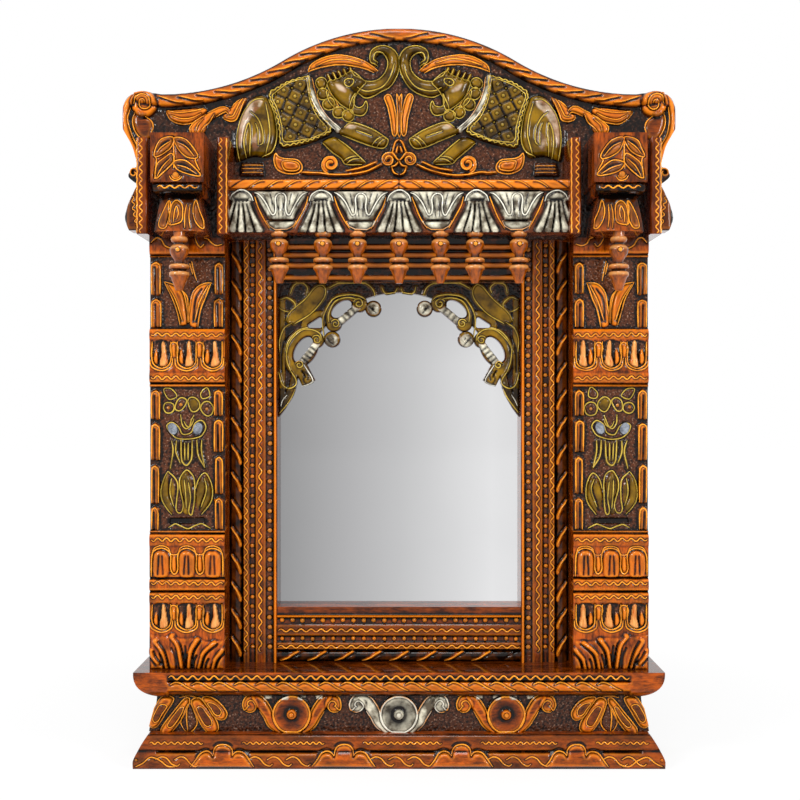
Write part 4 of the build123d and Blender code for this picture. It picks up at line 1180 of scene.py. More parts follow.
# Pale silver patches painted on the rump, head and raised leg as highlights
painted_highlight_share = 0.5
painted_highlight_patches = (
    ((240, 112), (247, 101), (256, 98), (263, 101), (262, 108), (254, 116), (248, 128), (244, 142),
     (239, 150), (237.6, 134)),
    ((334.6, 84), (341, 85), (347, 90), (346, 94), (338, 91)),
    ((338, 123), (346, 122.6), (357, 127), (353, 130.6), (343, 128)),
    ((252, 140), (258, 132), (262, 136), (260, 148), (254, 152)),
)
rump_lines = (
    ((239.4, 160.6), (237, 144), (238, 127), (243.6, 111.6), (254, 100.6), (264, 99.6)),
    ((246, 158), (244.6, 142), (246.4, 130), (249.6, 124), (251, 134), (249.6, 156)),
    ((250.6, 112.6), (257.6, 119), (262.6, 130), (263.4, 142.6), (260, 146)),
    ((256, 124), (258.6, 132), (258.6, 146)),
    ((268.6, 99), (273.4, 112), (276.4, 128), (276, 142), (271, 152.4), (262, 156.6)),
    ((265.6, 104), (269, 118), (270.4, 136), (266, 154)),
)
saddle_cloth = ((272.4, 96.4), (279, 89.6), (290, 83), (305.4, 79.6), (308, 90), (311, 103), (317.6, 117),
                (327.4, 129.4), (316, 136.4), (304, 140.2), (284.6, 141.6), (282, 127), (277.4, 110))
lattice_middle = (295.0, 96.4)
lattice_steps = ((11.4, 5.6), (-5.4, 11.6))
saddle = ((268.4, 93.8), (277, 86), (289.4, 79.4), (308.4, 75.6), (310.6, 88), (314, 101), (321, 115),
          (332.6, 130.4), (319, 138.6), (306.7, 143), (293, 146), (280.6, 146.2), (278, 129),
          (273.6, 112))
collar = ((309, 77), (312, 92), (318, 107), (327, 120), (338, 129.6))
head = ((352, 70.6), (345, 74.6), (336, 78.6), (327.6, 81.6), (329, 88), (333.4, 96.6), (341.6, 104.4),
        (351.4, 109.4), (354, 104), (354.8, 96), (360, 90), (366, 83), (361, 77))
trunk = ((357, 84.6), (364, 88), (378, 86), (388.5, 78), (393.3, 65.5), (392.5, 55), (386, 49.6),
         (377, 50.4), (371.8, 57.5), (374.5, 63))
trunk_edges = (
    ((352.4, 70.8), (353.8, 75), (362.2, 79.6), (375.6, 79.6), (385.6, 71), (387.8, 60), (383.3, 53.3),
     (375.6, 53.3), (373.3, 60), (377.8, 62.2)),
    ((357.8, 93.3), (366.7, 96.7), (380, 92.2), (391, 84.4), (397.8, 71), (398.6, 57.8), (393.3, 48.9),
     (382.2, 45.6), (373.3, 47.8), (370, 54.4), (371, 62.2), (377.8, 65.6)),
    ((357, 89), (368, 91.6), (382, 87.4), (390.6, 77), (394.6, 64)),
)
eye_place = (349.3, 83.1)
lip = ((355, 93.3), (353.3, 102.2), (357.4, 106.6), (363, 105), (365.6, 100), (367.4, 105),
       (366.4, 110.6), (362.2, 114.6), (354.6, 113.6), (349.4, 109.6), (352, 100))
hair_strokes = (
    ((327.6, 74.4), (331, 81.6)),
    ((333, 72.6), (336.4, 79.6)),
    ((338.4, 70.6), (341.6, 77.4)),
    ((344, 69), (346.8, 75.6)),
    ((349.8, 67.6), (352, 73)),
)
ear_lobes = ((321.2, 82.6), (322.8, 93), (328.4, 103.6), (338.6, 111.6), (348.2, 115))
ear_petal = ((326.6, 90), (331.6, 94.6), (336.4, 102), (338.6, 107.2), (333, 105.6), (328.2, 99.4))
raised_leg = ((342.4, 127.1), (352.7, 121.8), (371.8, 128.4), (384.5, 136.1), (388.2, 140),
              (383.3, 147.4), (371.8, 146), (359, 141), (340, 133.5))
raised_leg_lines = (
    ((344, 127), (352.7, 121.8), (371.8, 128.4), (384.5, 136.1), (388.2, 140), (383.3, 147.4),
     (371.8, 146), (359, 141), (342, 134.4)),
    ((371.6, 145.4), (377, 140), (383, 136)),
    ((376.4, 146.6), (381, 141.6), (386, 138.4)),
    ((356, 131), (372, 136.6)),
)
second_leg = ((322, 142.5), (333.5, 136.8), (343.7, 142.5), (357.8, 155.2), (365, 161.8), (362, 164),
              (346.3, 163.4), (341, 157.4), (329.7, 148.8))
second_leg_lines = (
    ((322.6, 142.8), (332, 151), (341, 158), (346.3, 163.4), (362, 164)),
    ((338, 138.6), (347, 145.6), (357.8, 155.2), (365, 161.8)),
    ((343.6, 160.6), (350, 157.4), (357, 156)),
    ((346.6, 162.8), (353, 159.6), (360, 159)),
)
long_leaf = ((308, 71), (311.8, 63.4), (325.9, 56), (342.4, 54.6), (362.9, 59.6), (377.6, 69.6),
             (370, 70.6), (360.3, 66.4), (339.9, 63.8), (322, 66.2))
long_leaf_lines = (
    ((308, 71), (311.8, 63.4), (325.9, 56), (342.4, 54.6), (362.9, 59.6), (378.4, 70)),
    ((308, 71), (322, 66.2), (339.9, 63.8), (360.3, 66.4), (374, 72)),
    ((316, 65.4), (330, 60.4), (346, 59), (362, 63)),
)
drop_leaf = ((274.9, 152.7), (273.8, 160.3), (277.4, 168.8), (287.6, 173.2), (299.1, 171.6),
             (301.6, 165.4), (296.5, 159.4), (284.4, 158.2), (278, 156))
drop_leaf_core = ((282, 161.4), (284.6, 169.4), (293, 170.6), (298.6, 168.4), (297.4, 162.6), (290, 161))
flame_left = ((384.8, 96.4), (389.4, 93.8), (393.4, 102), (396.2, 118), (396, 133.4), (392.6, 133.4),
              (390.4, 118), (387.6, 106))
flame_middle = ((396.4, 93.4), (399.6, 104), (399.8, 133), (397.6, 133), (397.4, 112))
stem_lines = (
    ((301.6, 171.8), (310, 172.4), (318.6, 172.2), (332, 174.4), (348, 174.2), (366.7, 170.5),
     (381, 164)),
    ((346, 170.4), (362, 167.4), (376, 161.6)),
)
knot_lines = (
    ((392.2, 152), (395.6, 142), (400.6, 138.6)),
    ((392.2, 152), (396.4, 158), (400.4, 162)),
    ((391.6, 166.4), (394.2, 172.6), (400.6, 175)),
    ((391.6, 166.4), (396, 164.6), (400.4, 158.6)),
    ((396, 152), (398, 146), (400.6, 145)),
)
foot_block = ((241.6, 162.8), (262.4, 162.8), (263.4, 175.4), (239.6, 175.4))
leaf_figures = (
    ((165, 110.6), (178, 109.4), (198, 107.6), (206, 109), (203.6, 114.6), (197, 119.4), (187.9, 123.2),
     (177.4, 122.6), (169.6, 118.4)),
    ((206.7, 112.5), (213.9, 108.6), (221, 105.4), (228.6, 106.4), (229, 111), (222, 114), (214.6, 117),
     (208, 123.4), (202.6, 133), (189.6, 133), (188.8, 126.6), (195, 120)),
    ((222, 115.4), (227, 112), (232, 104.6), (240, 98.6), (247, 97), (243.8, 106), (239.4, 115),
     (236, 120.6), (229.8, 121.8), (223.6, 119.6)),
)
leaf_figure_lines = (
    ((165.5, 112.6), (169.9, 118.6), (177.8, 122.9), (187.9, 122.9), (198, 119), (205.3, 113.6)),
    ((167, 110.6), (177.8, 112.5), (189.4, 111.7), (198, 109.6), (203, 106.6)),
    ((169.9, 114.6), (180.7, 119), (192.3, 117.5), (200.9, 113.2)),
    ((205.3, 113.9), (195, 121), (189.4, 127), (190.4, 132.7)),
    ((213.9, 113.9), (209.6, 121), (203, 128.4), (200.2, 132.7)),
    ((203.6, 118.6), (197.6, 125), (195.6, 132)),
    ((206.7, 112.5), (213.9, 109.6), (219.7, 106.7), (225.5, 106.7), (229.8, 110.3)),
    ((222.6, 116), (224, 119), (229.8, 121), (235.6, 119.7), (238.5, 113.9), (242.8, 103.8), (245.7, 98)),
    ((227, 116), (232.7, 116), (235.6, 111), (240, 102.3), (242.8, 98)),
    ((215.4, 116), (221.2, 113.2), (226.2, 111.7), (228.4, 114.6)),
    ((231.3, 106.7), (235.6, 102), (240, 99)),
)
scroll_middle = (143.8, 103.6)
low_curl_middle = (133.6, 172.6)
ear_top_row = 182.0
ear_inner_px = 150.0
ear_zigzag = ((131.6, 193), (136.6, 226))
end_band = ((133.6, 96), (127.4, 104), (124.6, 116), (126, 131), (132, 146), (138, 158))
ear = ((137.6, 184), (131, 189), (126.4, 202), (125.6, 229.6), (138.4, 229.6))
volute_leaf_lines = (
    ((129.6, 107), (127.6, 119), (130.6, 134), (137, 146), (139, 150)),
    ((133.7, 111.6), (131.8, 121), (134.6, 131), (141, 138.4), (149, 139.4)),
    ((145.3, 116), (151, 121), (152.5, 127), (151, 132.7), (151, 139)),
)
volute_leaf = ((133.6, 113.7), (143, 113.4), (151.4, 119.5), (153.4, 131.6), (146.4, 139.6),
               (138.6, 136.2), (133.4, 125))


crest_strand_pitch = 15.5
crest_strand = ((0, 7.6), (7, 6.4), (13, 4.2), (20, 2.0))
crest_arch_points = 40
arch_run = 198.0
arch_drop = 55.0
crown_share = 0.49
scroll_end_radius = 12.0
scroll_end_drop = 10.0
scroll_end_angles = (128, 180)
shoulder_steps = ((6, 1.0), (14, 2.0))
waist_drop = 29.0
curl_length = 30.0
ear_start = 46.0
ear_foot_height = 8.0
foot_step = 18.5
flame_scroll = (330.4, 163.6)
panel_split = ((231.6, 130), (231.6, 178))
stem_curl = (388.4, 159.2)
foot_rows = (165.4, 168.8, 172.4)


def crest_edge():
    """The crest board's edge in its left half, from the middle of its top down to its foot."""
    foot, top = span("crest_board", 2)
    half = -left_reach("crest_board")[0]
    turn = 2 * atan(arch_drop / arch_run)
    radii = arch_run / sin(turn)
    crown = crown_share * radii
    fall = radii - crown
    shoulder = top - arch_drop
    shares = np.linspace(0, 1, crest_arch_points)
    points = [(-crown * sin(turn * t), top - crown * (1 - cos(turn * t))) for t in shares]
    points += [(-arch_run + fall * sin(turn * t), shoulder + fall * (1 - cos(turn * t)))
               for t in shares[-2::-1]]
    scroll = (scroll_end_radius - half, shoulder - scroll_end_drop)
    points += aside(shoulder_steps, -arch_run, -1, shoulder)
    for angle in np.linspace(*scroll_end_angles, 12):
        across, rise = cos(radians(angle)), sin(radians(angle))
        points.append((scroll[0] + scroll_end_radius * across, scroll[1] + scroll_end_radius * rise))
    waist_top = shoulder - waist_drop
    curl_top = waist_top - curl_length
    ear_top = waist_top - ear_start
    ear_foot = foot + ear_foot_height
    ear_bend = ear_foot + 0.35 * (ear_top - ear_foot)
    for bow in (
        ((0, waist_top), (8.2, (waist_top + curl_top) / 2), (11.7, curl_top)),
        ((11.7, curl_top), (3.7, (curl_top + ear_top) / 2), (11.7, ear_top)),
        ((11.7, ear_top), (1.3, ear_bend), (4.5, ear_foot)),
    ):
        points += [tuple(point) for point in smooth(aside(bow, -half))]
    points += [(foot_step - half, ear_foot), (foot_step - half, foot), (0, foot)]
    return np.array(points)


def rope_height(along, across, radius, pitch, lean=1.0):
    """A twisted rope's roundness, and how near the groove between two of its leaning strands is."""
    share = np.clip(across / radius, -1, 1)
    phase = along / pitch + lean * 0.42 * np.arcsin(share) / (pi / 2)
    saw = phase - np.floor(phase)
    return rounded(share), np.minimum(saw, 1 - saw)


def carve_crest(side):
    """Half of the crest board, with its elephant."""
    node = "crest_board"
    edge = crest_edge()
    ground_depth = front_of(node) - 6.4
    across = (left_reach(node)[0], 0.0)
    carving = Carving("crest", across, span(node, 2), ground_depth, side, plane=ground_depth + 3,
                      shape=outline_shape(edge))
    carving.paint("ground", 1.0)
    carving.tone["stain_and_shade"] += 0.12 + 0.4 * eased((-carving.wide - 120) / 50)
    carve_crest_rope(carving, edge[:2 * crest_arch_points + 1])
    carve_elephant(carving)
    carve_crest_leaves(carving)
    carve_volute(carving)
    carving.cut(panel_split, 2.4, 1.0)
    carving.stipple(0.6, 2.0)
    carve(f"crest_carving_{side}", carving, node, level_wood, mirrored=side == "right")


def carve_crest_rope(carving, top_line):
    """The rope that follows the arched top, with a raised line along each strand."""
    x = carving.wide
    gap, _ = distance(x, carving.high, top_line, False)
    run = np.concatenate(([0], np.cumsum(np.hypot(*np.diff(top_line, axis=0).T))))
    half = crest_rope_radius + 0.6
    middle_gap = gap - crest_rope_radius - 0.2
    on_rope = (abs(middle_gap) < half) & (x > top_line[-1][0] - 8)
    carving.depth += np.where(on_rope, 5.2 * rounded(np.clip(middle_gap / half, -1, 1)) ** 0.7, 0)
    carving.paint("wood", on_rope)
    carving.tone["stain_and_shade"] = np.where(on_rope, 0.1, carving.tone["stain_and_shade"])
    normal = np.gradient(top_line, axis=0) @ np.array(((0, -1), (1, 0)))
    normal /= np.hypot(*normal.T)[:, None]
    along, out = np.transpose(crest_strand)
    for start in np.arange(4.0, run[-1] - 22, crest_strand_pitch):
        on_edge = np.column_stack([np.interp(start + along, run, line) for line in top_line.T])
        away = np.column_stack([np.interp(start + along, run, line) for line in normal.T])
        strand = smooth(on_edge - np.sign(away[0, 1]) * away * out[:, None])
        carving.cut(strand + np.array((0.0, -1.3)), 2.6, 1.2, placed=True)
        carving.trace(strand, 0.5, placed=True, deep=0)
    carving.cut(top_line + np.array((0.0, -2 * crest_rope_radius - 1.2)), 2.2, 0.8, placed=True)


def carve_elephant(carving):
    """The elephant: rump, saddle, collar, head, trunk and two legs, with pale painted highlights on rump,
    head and leg.
    """

    def draw(line, radius=0.5, closed=False):
        carving.trace(line, radius, closed, tone="olive", deep=0.9)

    carving.swell(rump, 7.0, 10, "olive")
    carving.swell(saddle, 4.6, 2.2, "olive")
    for line in rump_lines:
        draw(line, 0.54)
    lattice(carving)
    carving.ridge(collar, 4.6, 6.0, "silver", slim=(0.9, 1.1))
    carving.trace(aside(collar, -2.4, down=0.6), 0.5)
    carving.trace(aside(collar, 2.8, down=-0.6), 0.5)
    for middle in ear_lobes:
        lobe = spiral(middle, 5.8, 5.8, 0, 1)
        carving.swell(lobe, 3.0, 3.0, "olive")
        draw(lobe)
    carving.swell(ear_petal, 3.0, 2.4, "olive", line=0.45)
    carving.swell(head, 5.6, 6.5, "olive")
    draw(head, closed=True)
    carving.ridge(trunk, 9.6, 5.6, "olive", slim=(1.3, 0.6))
    carving.swell(lip, 2.8, 2.4, "olive")
    draw(lip, closed=True)
    for line in trunk_edges:
        draw(line, 0.52)
    for line in hair_strokes:
        carving.ridge(line, 2.6, 3.0, "olive")
        carving.cut(aside(line, 2.6), 1.6, 1.4)
        carving.trace(line, 0.5, deep=0, tone="olive")
    draw(spiral(eye_place, 5.0, 5.0, 0, 1, 0.78))
    carving.bead(eye_place, 1.0)
    carving.swell(raised_leg, 5.0, 4, "olive")
    carving.swell(second_leg, 4.4, 4, "olive")
    for line in raised_leg_lines + second_leg_lines:
        draw(line, 0.54)
    x, z = carving.wide, carving.high
    # Painted highlights: pale silver patches where lamps would glint on the rounded forms.
    for patch in painted_highlight_patches:
        outline = smooth(carving.at(patch), closed=True)
        gap, _ = distance(x, z, outline, True)
        carving.paint("silver", painted_highlight_share * inside(x, z, outline) * eased(gap / 1.8))


def carve_crest_leaves(carving):
    """Leaves, flames, scrolls, knot and foot block round the elephant."""
    carving.swell(long_leaf, 2.8, 2.4)
    for line in long_leaf_lines:
        carving.trace(line, 0.6)
    carving.swell(drop_leaf, 2.0, 2, line=0.62)
    carving.swell(drop_leaf_core, 1.8, 3, line=0.5)
    carving.swell(flame_left, 3.2, 2.4, line=0.6)
    carving.swell(flame_middle, 3.2, 2.0, line=0.5)
    carving.trace(spiral(flame_scroll, 9.6, 2.2, 100, 1.65), 0.66)
    carving.ridge(spiral(flame_scroll, 7.6, 2.0, 120, 1.5), 3.0, 2.4)
    for line in stem_lines:
        carving.ridge(line, 3.0, 2.0)
        carving.trace(line, 0.6, deep=0.3)
    carving.ridge(spiral(stem_curl, 6.0, 1.6, -30, -1.4), 2.8, 2.4)
    carving.trace(spiral(stem_curl, 7.6, 2.0, -30, -1.5), 0.62)
    for line in knot_lines:
        carving.ridge(line, 2.6, 2.4)
        carving.trace(line, 0.6, deep=0.3)
    carving.swell(foot_block, 3.0, 2, "ground", curve=False)
    for row in foot_rows:
        carving.trace([(242, row), (262.6, row)], 0.5)
    for figure in leaf_figures:
        carving.swell(figure, 3.4, 2.6)
    for line in leaf_figure_lines:
        carving.trace(line, 0.56, deep=1.2)


def lattice(carving):
    """The quilted saddle cloth: crossed dark grooves, beads in and between the squares, a wavy hem."""
    field = smooth(carving.at(saddle_cloth), closed=True)
    middle = np.array(lattice_middle)
    first, second = (np.array(step) for step in lattice_steps)
    reach = np.arange(-5, 5.1, 0.12)
    for step in np.arange(-5.5, 6):
        for along, across in ((first, second), (second, first)):
            line = carving.at([middle + step * across + share * along for share in reach])
            line = line[inside(line[:, 0], line[:, 1], field)]
            if len(line) > 2:
                carving.cut(line, 2.7, 1.9, placed=True)
    for row in np.arange(-5, 5.5, 0.5):
        for column in np.arange(-5, 5.5, 0.5):
            crossing = row % 1 and column % 1
            if not crossing and (row % 1 or column % 1):
                continue
            spot = middle + row * first + column * second
            place = carving.at([spot])[0]
            if inside(np.array([place[0]]), np.array([place[1]]), field)[0]:
                carving.bead(spot, 0.9 if crossing else 1.5, 0.3)
    carving.trace(field, 0.45, closed=True, placed=True, tone="olive")
    hem = smooth(carving.at(saddle), closed=True)
    ripple = np.sin(np.arange(len(hem)) * 1.5) * 0.7
    outward = hem - hem.mean(0)
    outward /= np.hypot(*outward.T)[:, None]
    hem = hem - outward * (1.6 + ripple[:, None])
    carving.trace(hem, 0.55, closed=True, placed=True, tone="olive")


def carve_volute(carving):
    """The scrolled end of the crest, its leaf, the curl below it and the ear."""
    disc = spiral(scroll_middle, 13.6, 13.6, 0, 1)
    carving.swell(disc, 4.6, 5)
    carving.cut(disc, 2.4, 1.2, closed=True, stain_and_shade=0.8)
    carving.ridge(end_band, 7.0, 4.4, slim=(1.0, 0.7))
    carving.swell(volute_leaf, 2.0, 4)
    carving.shade(volute_leaf, 0.62)
    for line in volute_leaf_lines:
        carving.trace(line, 0.56, deep=0.9)
    carving.cut(spiral(scroll_middle, 10.6, 2.2, 170, 1.5), 3.0, 1.6, stain_and_shade=0.7)
    carving.trace(spiral(scroll_middle, 9.4, 1.6, 180, 1.5), 0.6, deep=0.4)
    curl = spiral(low_curl_middle, 5.6, 1.6, 60, -1.3)
    carving.ridge(curl, 2.6, 3.0)
    carving.trace(curl, 0.6, deep=0.3)
    carving.swell(ear, 2.6, 3, curve=False)
    outer_edge = carving.at((ear_inner_px, middle_py), steady=True)[0, 0]
    carving.darken(0.7 * (carving.high < carving.level(ear_top_row)) * (carving.wide < outer_edge))
    carving.zigzag(*ear_zigzag, 6.4, 1.3, 0.55)


# Cornice: a beam carved with silver lotus cups and bells, and a twisted rope along its top.

bell_middles = (241.0, 321.0, 399.0, 477.0, 557.0)
bell_dome = ((11.6, 200.6), (9.4, 194.4), (4.6, 190.8))
bell_skirt = ((23, 230), (14.6, 214), (9.6, 202))
bell_side = ((13, 196), (16, 205), (21.6, 217), (28, 228))
cup_middles = (280.9, 360.8, 437.2, 517.1)
cup_body = ((27, 191), (22.6, 200), (15, 214), (11.6, 219.6))
cup_foot = ((14.6, 220.6), (12, 225.4), (6, 229))
cup_border = ((14, 221), (10.6, 228.4))
cup_loop = ((0, 193), (3.4, 194.4), (5.2, 199), (5.0, 208), (6.0, 213.6), (8.4, 215), (11, 211.6),
            (15, 203), (21, 195.4), (26.4, 192))
cup_lens = ((26.4, 192.4), (22.4, 200.6), (16.6, 210.6), (14, 215.6), (15.6, 207), (19.6, 199))
cup_slits = (((2.0, 198), (1.8, 210)), ((9, 201), (9.4, 209)))
cup_crease_shares = (-0.72, -0.44, -0.18, 0.18, 0.44, 0.72)


def carve_cornice():
    """The beam between its rope and the drops, with its row of bells and cups."""
    node = "cornice_beam"
    front = front_of(node)
    up = span(node, 2)
    carving = Carving("cornice", span(node, 0), up, front - 4.6, plane=front - 2)
    carving.paint("ground", 0.35)
    carving.tone["stain_and_shade"] += 0.55
    for middle in bell_middles:
        bell(carving, middle)
    for middle in cup_middles:
        cup(carving, middle)
    carving.depth += 2.2 * eased((carving.high - (up[1] - 1.2)) / 0.8)
    carve("cornice_petals", carving, node, level_wood)


def bell(carving, middle):
    """A silver bell: a small dome over a flared skirt of pleats."""
    carving.swell(both_sides(bell_skirt, middle), 1.2, 1.4, "ground", curve=False)
    for step in range(-2, 3):
        fold = aside(((step * 3.7, 202.4), (step * 5.6, 214), (step * 9.0, 229.4)), middle)
        carving.ridge(fold, 6.4, 2.8, "silver", slim=(0.55, 1.05), sharp=0.6)
    for step in np.arange(-2.5, 3):
        carving.cut(aside(((step * 3.7, 203), (step * 5.6, 214), (step * 8.8, 229.4)), middle), 2.0, 1.6)
    dome = both_sides(bell_dome, middle, 190)
    carving.swell(dome, 3.4, 4.5, "silver", curve=False)
    carving.trace(dome, 0.6, tone="silver")
    core = [(middle + (x - middle) * 0.62, 198.6 + (y - 200.6) * 0.62) for x, y in dome]
    carving.cut(core, 2.0, 1.2, closed=True)
    for sign in (-1, 1):
        carving.trace(aside(bell_side, middle, sign), 0.55)


def cup(carving, middle):
    """A silver lotus cup: loop petals in a W over a half-round foot."""
    carving.swell(both_sides(cup_body, middle), 3.8, 2.0, "silver", curve=False)
    for share in cup_crease_shares:
        crease = aside(((share * 25, 193), (share * 17, 206), (share * 11, 218)), middle)
        carving.cut(crease, 1.5, 1.0, stain_and_shade=0.8)
    carving.swell(both_sides(cup_foot, middle), 3.0, 3.0, "silver", line=0.5, curve=False)
    for sign in (-1, 1):
        carving.trace(aside(cup_loop, middle, sign), 0.58, tone="silver", deep=1.0)
        carving.cut(aside(cup_lens, middle, sign), 1.5, 1.0, closed=True, stain_and_shade=0.8)
        for slit in cup_slits:
            carving.cut(aside(slit, middle, sign), 1.4, 0.9, stain_and_shade=0.7)
    carving.cut(both_sides(cup_border, middle, 231.4), 1.6, 0.7, stain_and_shade=0.8)


rope_strand = ((0, 2.8), (4, 2.4), (8, 0.4), (12, -2.4))
rope_middle_mark = ((middle_px, 178), (middle_px, 192))
rope_pitch = 14.8
rope_rise = 4.0
rope_lean = 1.5


def carve_rope():
    """The twisted rope on top of the beam, which leans the other way past the middle."""
    node = "cornice_rope"
    low, high = span(node, 2)
    across = span(node, 0)
    front = front_of(node)
    middle = (low + high) / 2
    carving = Carving("rope", across, (low, high), front - rope_rise, plane=front - 1)
    round_part, groove = rope_height(abs(carving.wide), carving.high - middle, (high - low) / 2, rope_pitch,
                                     rope_lean)
    carving.depth += (rope_rise - 0.2) * round_part**0.8 - 1.6 * eased(1 - groove / 0.1)
    carving.tone["stain_and_shade"] = eased(1 - groove / 0.08) * 0.95
    for start in np.arange(rope_pitch * 0.4, across[1] - rope_pitch, rope_pitch):
        strand = smooth(aside(rope_strand, start, down=middle))
        for sign in (-1, 1):
            line = strand * np.array((sign, 1))
            carving.cut(line + np.array((0.0, -1.2)), 1.8, 0.8, placed=True)
            carving.trace(line, 0.5, placed=True, deep=0)
    carving.cut(rope_middle_mark, 1.6, 1.0)
    carve("cornice_rope_twist", carving, node, level_wood)


# Turned drops

drop_places = (-98.5, -62.5, -34.0, 0.0, 34.0, 62.5, 98.5)
middle_drop_depth = 53.0
capital_drop_depth = 84.0
capital_drop_x = 175.0
drop_tenon = 1.6
drop_neck = 4.0
drop_neck_radius = 4.6
drop_pixel = (eye_distance - middle_drop_depth) / lens_pixels
drop_stud_row = 243.6
drop_stud_balls = ((2.7, 6.1), (1.9, 7.4))
# Rows of the drop's profile darkened as painted shade in its narrow necks, and rows lightened as painted
# highlights on its upper rims
drop_neck_shade_rows = (236.8, 255.6, 263.8)
drop_highlight_rows = (231.4, 240.2, 259.0, 267.4)
drop_profile_px = (
    (0.0, 229.6), (7.0, 229.6), (8.1, 231), (8.3, 233), (7.4, 235), (5.4, 236.2), (5.2, 237.4),
    (7.4, 238.6), (8.9, 240.6), (9.4, 243.2), (9.0, 246), (7.4, 249.6), (5.4, 252.4), (4.4, 254.2),
    (4.2, 256.4), (6.0, 257.4), (8.8, 257.8), (9.8, 259.2), (9.9, 260.8), (9.4, 262.4), (7.2, 263.2),
    (6.8, 264.2), (8.4, 264.8), (9.6, 266), (9.9, 267.8), (9.7, 269.6), (8.4, 271), (7.9, 271.8),
    (5.9, 277.2), (4.0, 283), (3.4, 284.2), (0.0, 284.4),
)


def turn_drops():
    """The nine turned drops, each with a small stud on the front of its ball."""
    bm = bmesh.new()
    column_top = span("column_left", 2)[1]
    beam_foot = span("cornice_beam", 2)[0]
    start, end = drop_profile_px[0][1], drop_profile_px[-1][1]
    stretch = (column_top - span("turned_drops", 2)[0]) / (end - start)
    hung_at = [(x, middle_drop_depth, beam_foot + drop_tenon) for x in drop_places]
    hung_at += [(sign * capital_drop_x, capital_drop_depth, column_top - drop_neck) for sign in (-1, 1)]
    for x, depth, top in hung_at:
        profile = [(r * drop_pixel, top - (row - start) * stretch) for r, row in drop_profile_px]
        if depth == capital_drop_depth:
            neck = [(0, column_top), (drop_neck_radius, column_top), (drop_neck_radius, top)]
            profile = neck + profile[1:]
        lathe(bm, profile, (x, -depth))
    bmesh.ops.remove_doubles(bm, verts=bm.verts, dist=0.002)
    bmesh.ops.recalc_face_normals(bm, faces=bm.faces)
    bm = in_order(bm)
    turned_count = len(bm.verts)
    for x, depth, top in hung_at:
        for radius, forward in drop_stud_balls:
            ball = Matrix.Translation((x, -depth - forward, top - (drop_stud_row - start) * stretch))
            bmesh.ops.create_icosphere(bm, subdivisions=2, radius=radius, matrix=ball)
    bmesh.ops.scale(bm, vec=(mm, mm, mm), verts=bm.verts)
    where = places(bm) / mm
    outer = abs(where[:, 0]) > capital_drop_x - 12
    stain_and_shade = np.zeros(len(where))
    pale = np.zeros(len(where))
    # Painted shade along the necks and painted highlights along the upper rims of the discs and ball
    for field, rows, most in ((stain_and_shade, drop_neck_shade_rows, 0.92), (pale, drop_highlight_rows, 0.5)):
        for (_, _, top), here in ((hung_at[0], ~outer), (hung_at[-1], outer)):
            for row in rows:
                height = top - (row - start) * stretch
                near = np.clip(1.7 - abs(where[:, 2] - height) / 0.9, 0, most)
                field[:] = np.maximum(field, near * here)
        field[turned_count:] = 0
    gilt = np.zeros(len(where))
    ball_points = (len(where) - turned_count) // (2 * len(hung_at))
    for first in range(turned_count, len(where), 2 * ball_points):
        stain_and_shade[first:first + ball_points] = 0.9
        gilt[first + ball_points:first + 2 * ball_points] = 0.8
    piece = finish_piece("turned_drops_polished", bm, drop_wood, ("turned_drops",), sharp=50)
    give(piece.data, "stain_and_shade", stain_and_shade)
    give(piece.data, "bright", pale)
    give(piece.data, "gilt", gilt)


# Capitals

block_leaves = (
    ((153.4, 155.2), (156, 147), (161.2, 139), (172.9, 136.6), (170.6, 146), (165, 152), (157.4, 156)),
    ((173.9, 137.4), (186.1, 140), (196.8, 153.8), (194.7, 158), (186, 156), (178, 149)),
    ((154.4, 177.4), (156.6, 164.4), (163, 158), (171.4, 153), (172.9, 161.6), (163.4, 172)),
    ((173.7, 161.4), (186.1, 160.6), (199.6, 172.6), (197.4, 175.4), (184, 172.4), (176, 168)),
)
block_veins = (
    ((156.6, 152), (161, 146), (170.6, 139)),
    ((177, 140.6), (186, 145.4), (194, 154.6)),
    ((156.6, 174.6), (162, 165), (170, 157)),
    ((177, 163.4), (187, 166.4), (196.6, 172.4)),
)
block_stems = (
    ((172.6, 136), (173.4, 150), (173, 168)),
    ((153.4, 156), (156, 160), (153.6, 178)),
    ((196.6, 157), (194.6, 160), (199.4, 170)),
)
bulb_petals = (
    ((159, 227), (158.5, 221), (161.9, 210.7), (167.7, 199), (169.6, 206), (168.4, 218), (165, 227.4)),
    ((169, 223.7), (169.4, 210), (171.4, 202.6), (175.6, 199.2), (180.7, 203.4), (182, 212),
     (180.4, 222)),
    ((194.4, 198.4), (198, 209.2), (203.8, 223.7), (201, 228), (195, 220.8), (192.2, 209.2)),
)
bulb_lines = (
    ((173.4, 222), (173.6, 212), (176, 205.4), (178, 212), (176.6, 219)),
    ((185, 228), (184.4, 214), (185.6, 203)),
    ((190, 228), (188.4, 216), (188.6, 203)),
    ((167.7, 199), (168.4, 214), (171, 226)),
)


block_berry = (175.4, 174.4)
block_ring_middle = (175.4, 173.4)
roll_height = 7.4
cheek_cord_radius = 0.62
# For each cheek board: two lines as (share of its width from outside, swing)
cheek_waves = {
    "outer": ((0.42, 1.15), (0.08, 0.2)),
    "inner": ((0.34, 1.15), (0.86, 0.2)),
}


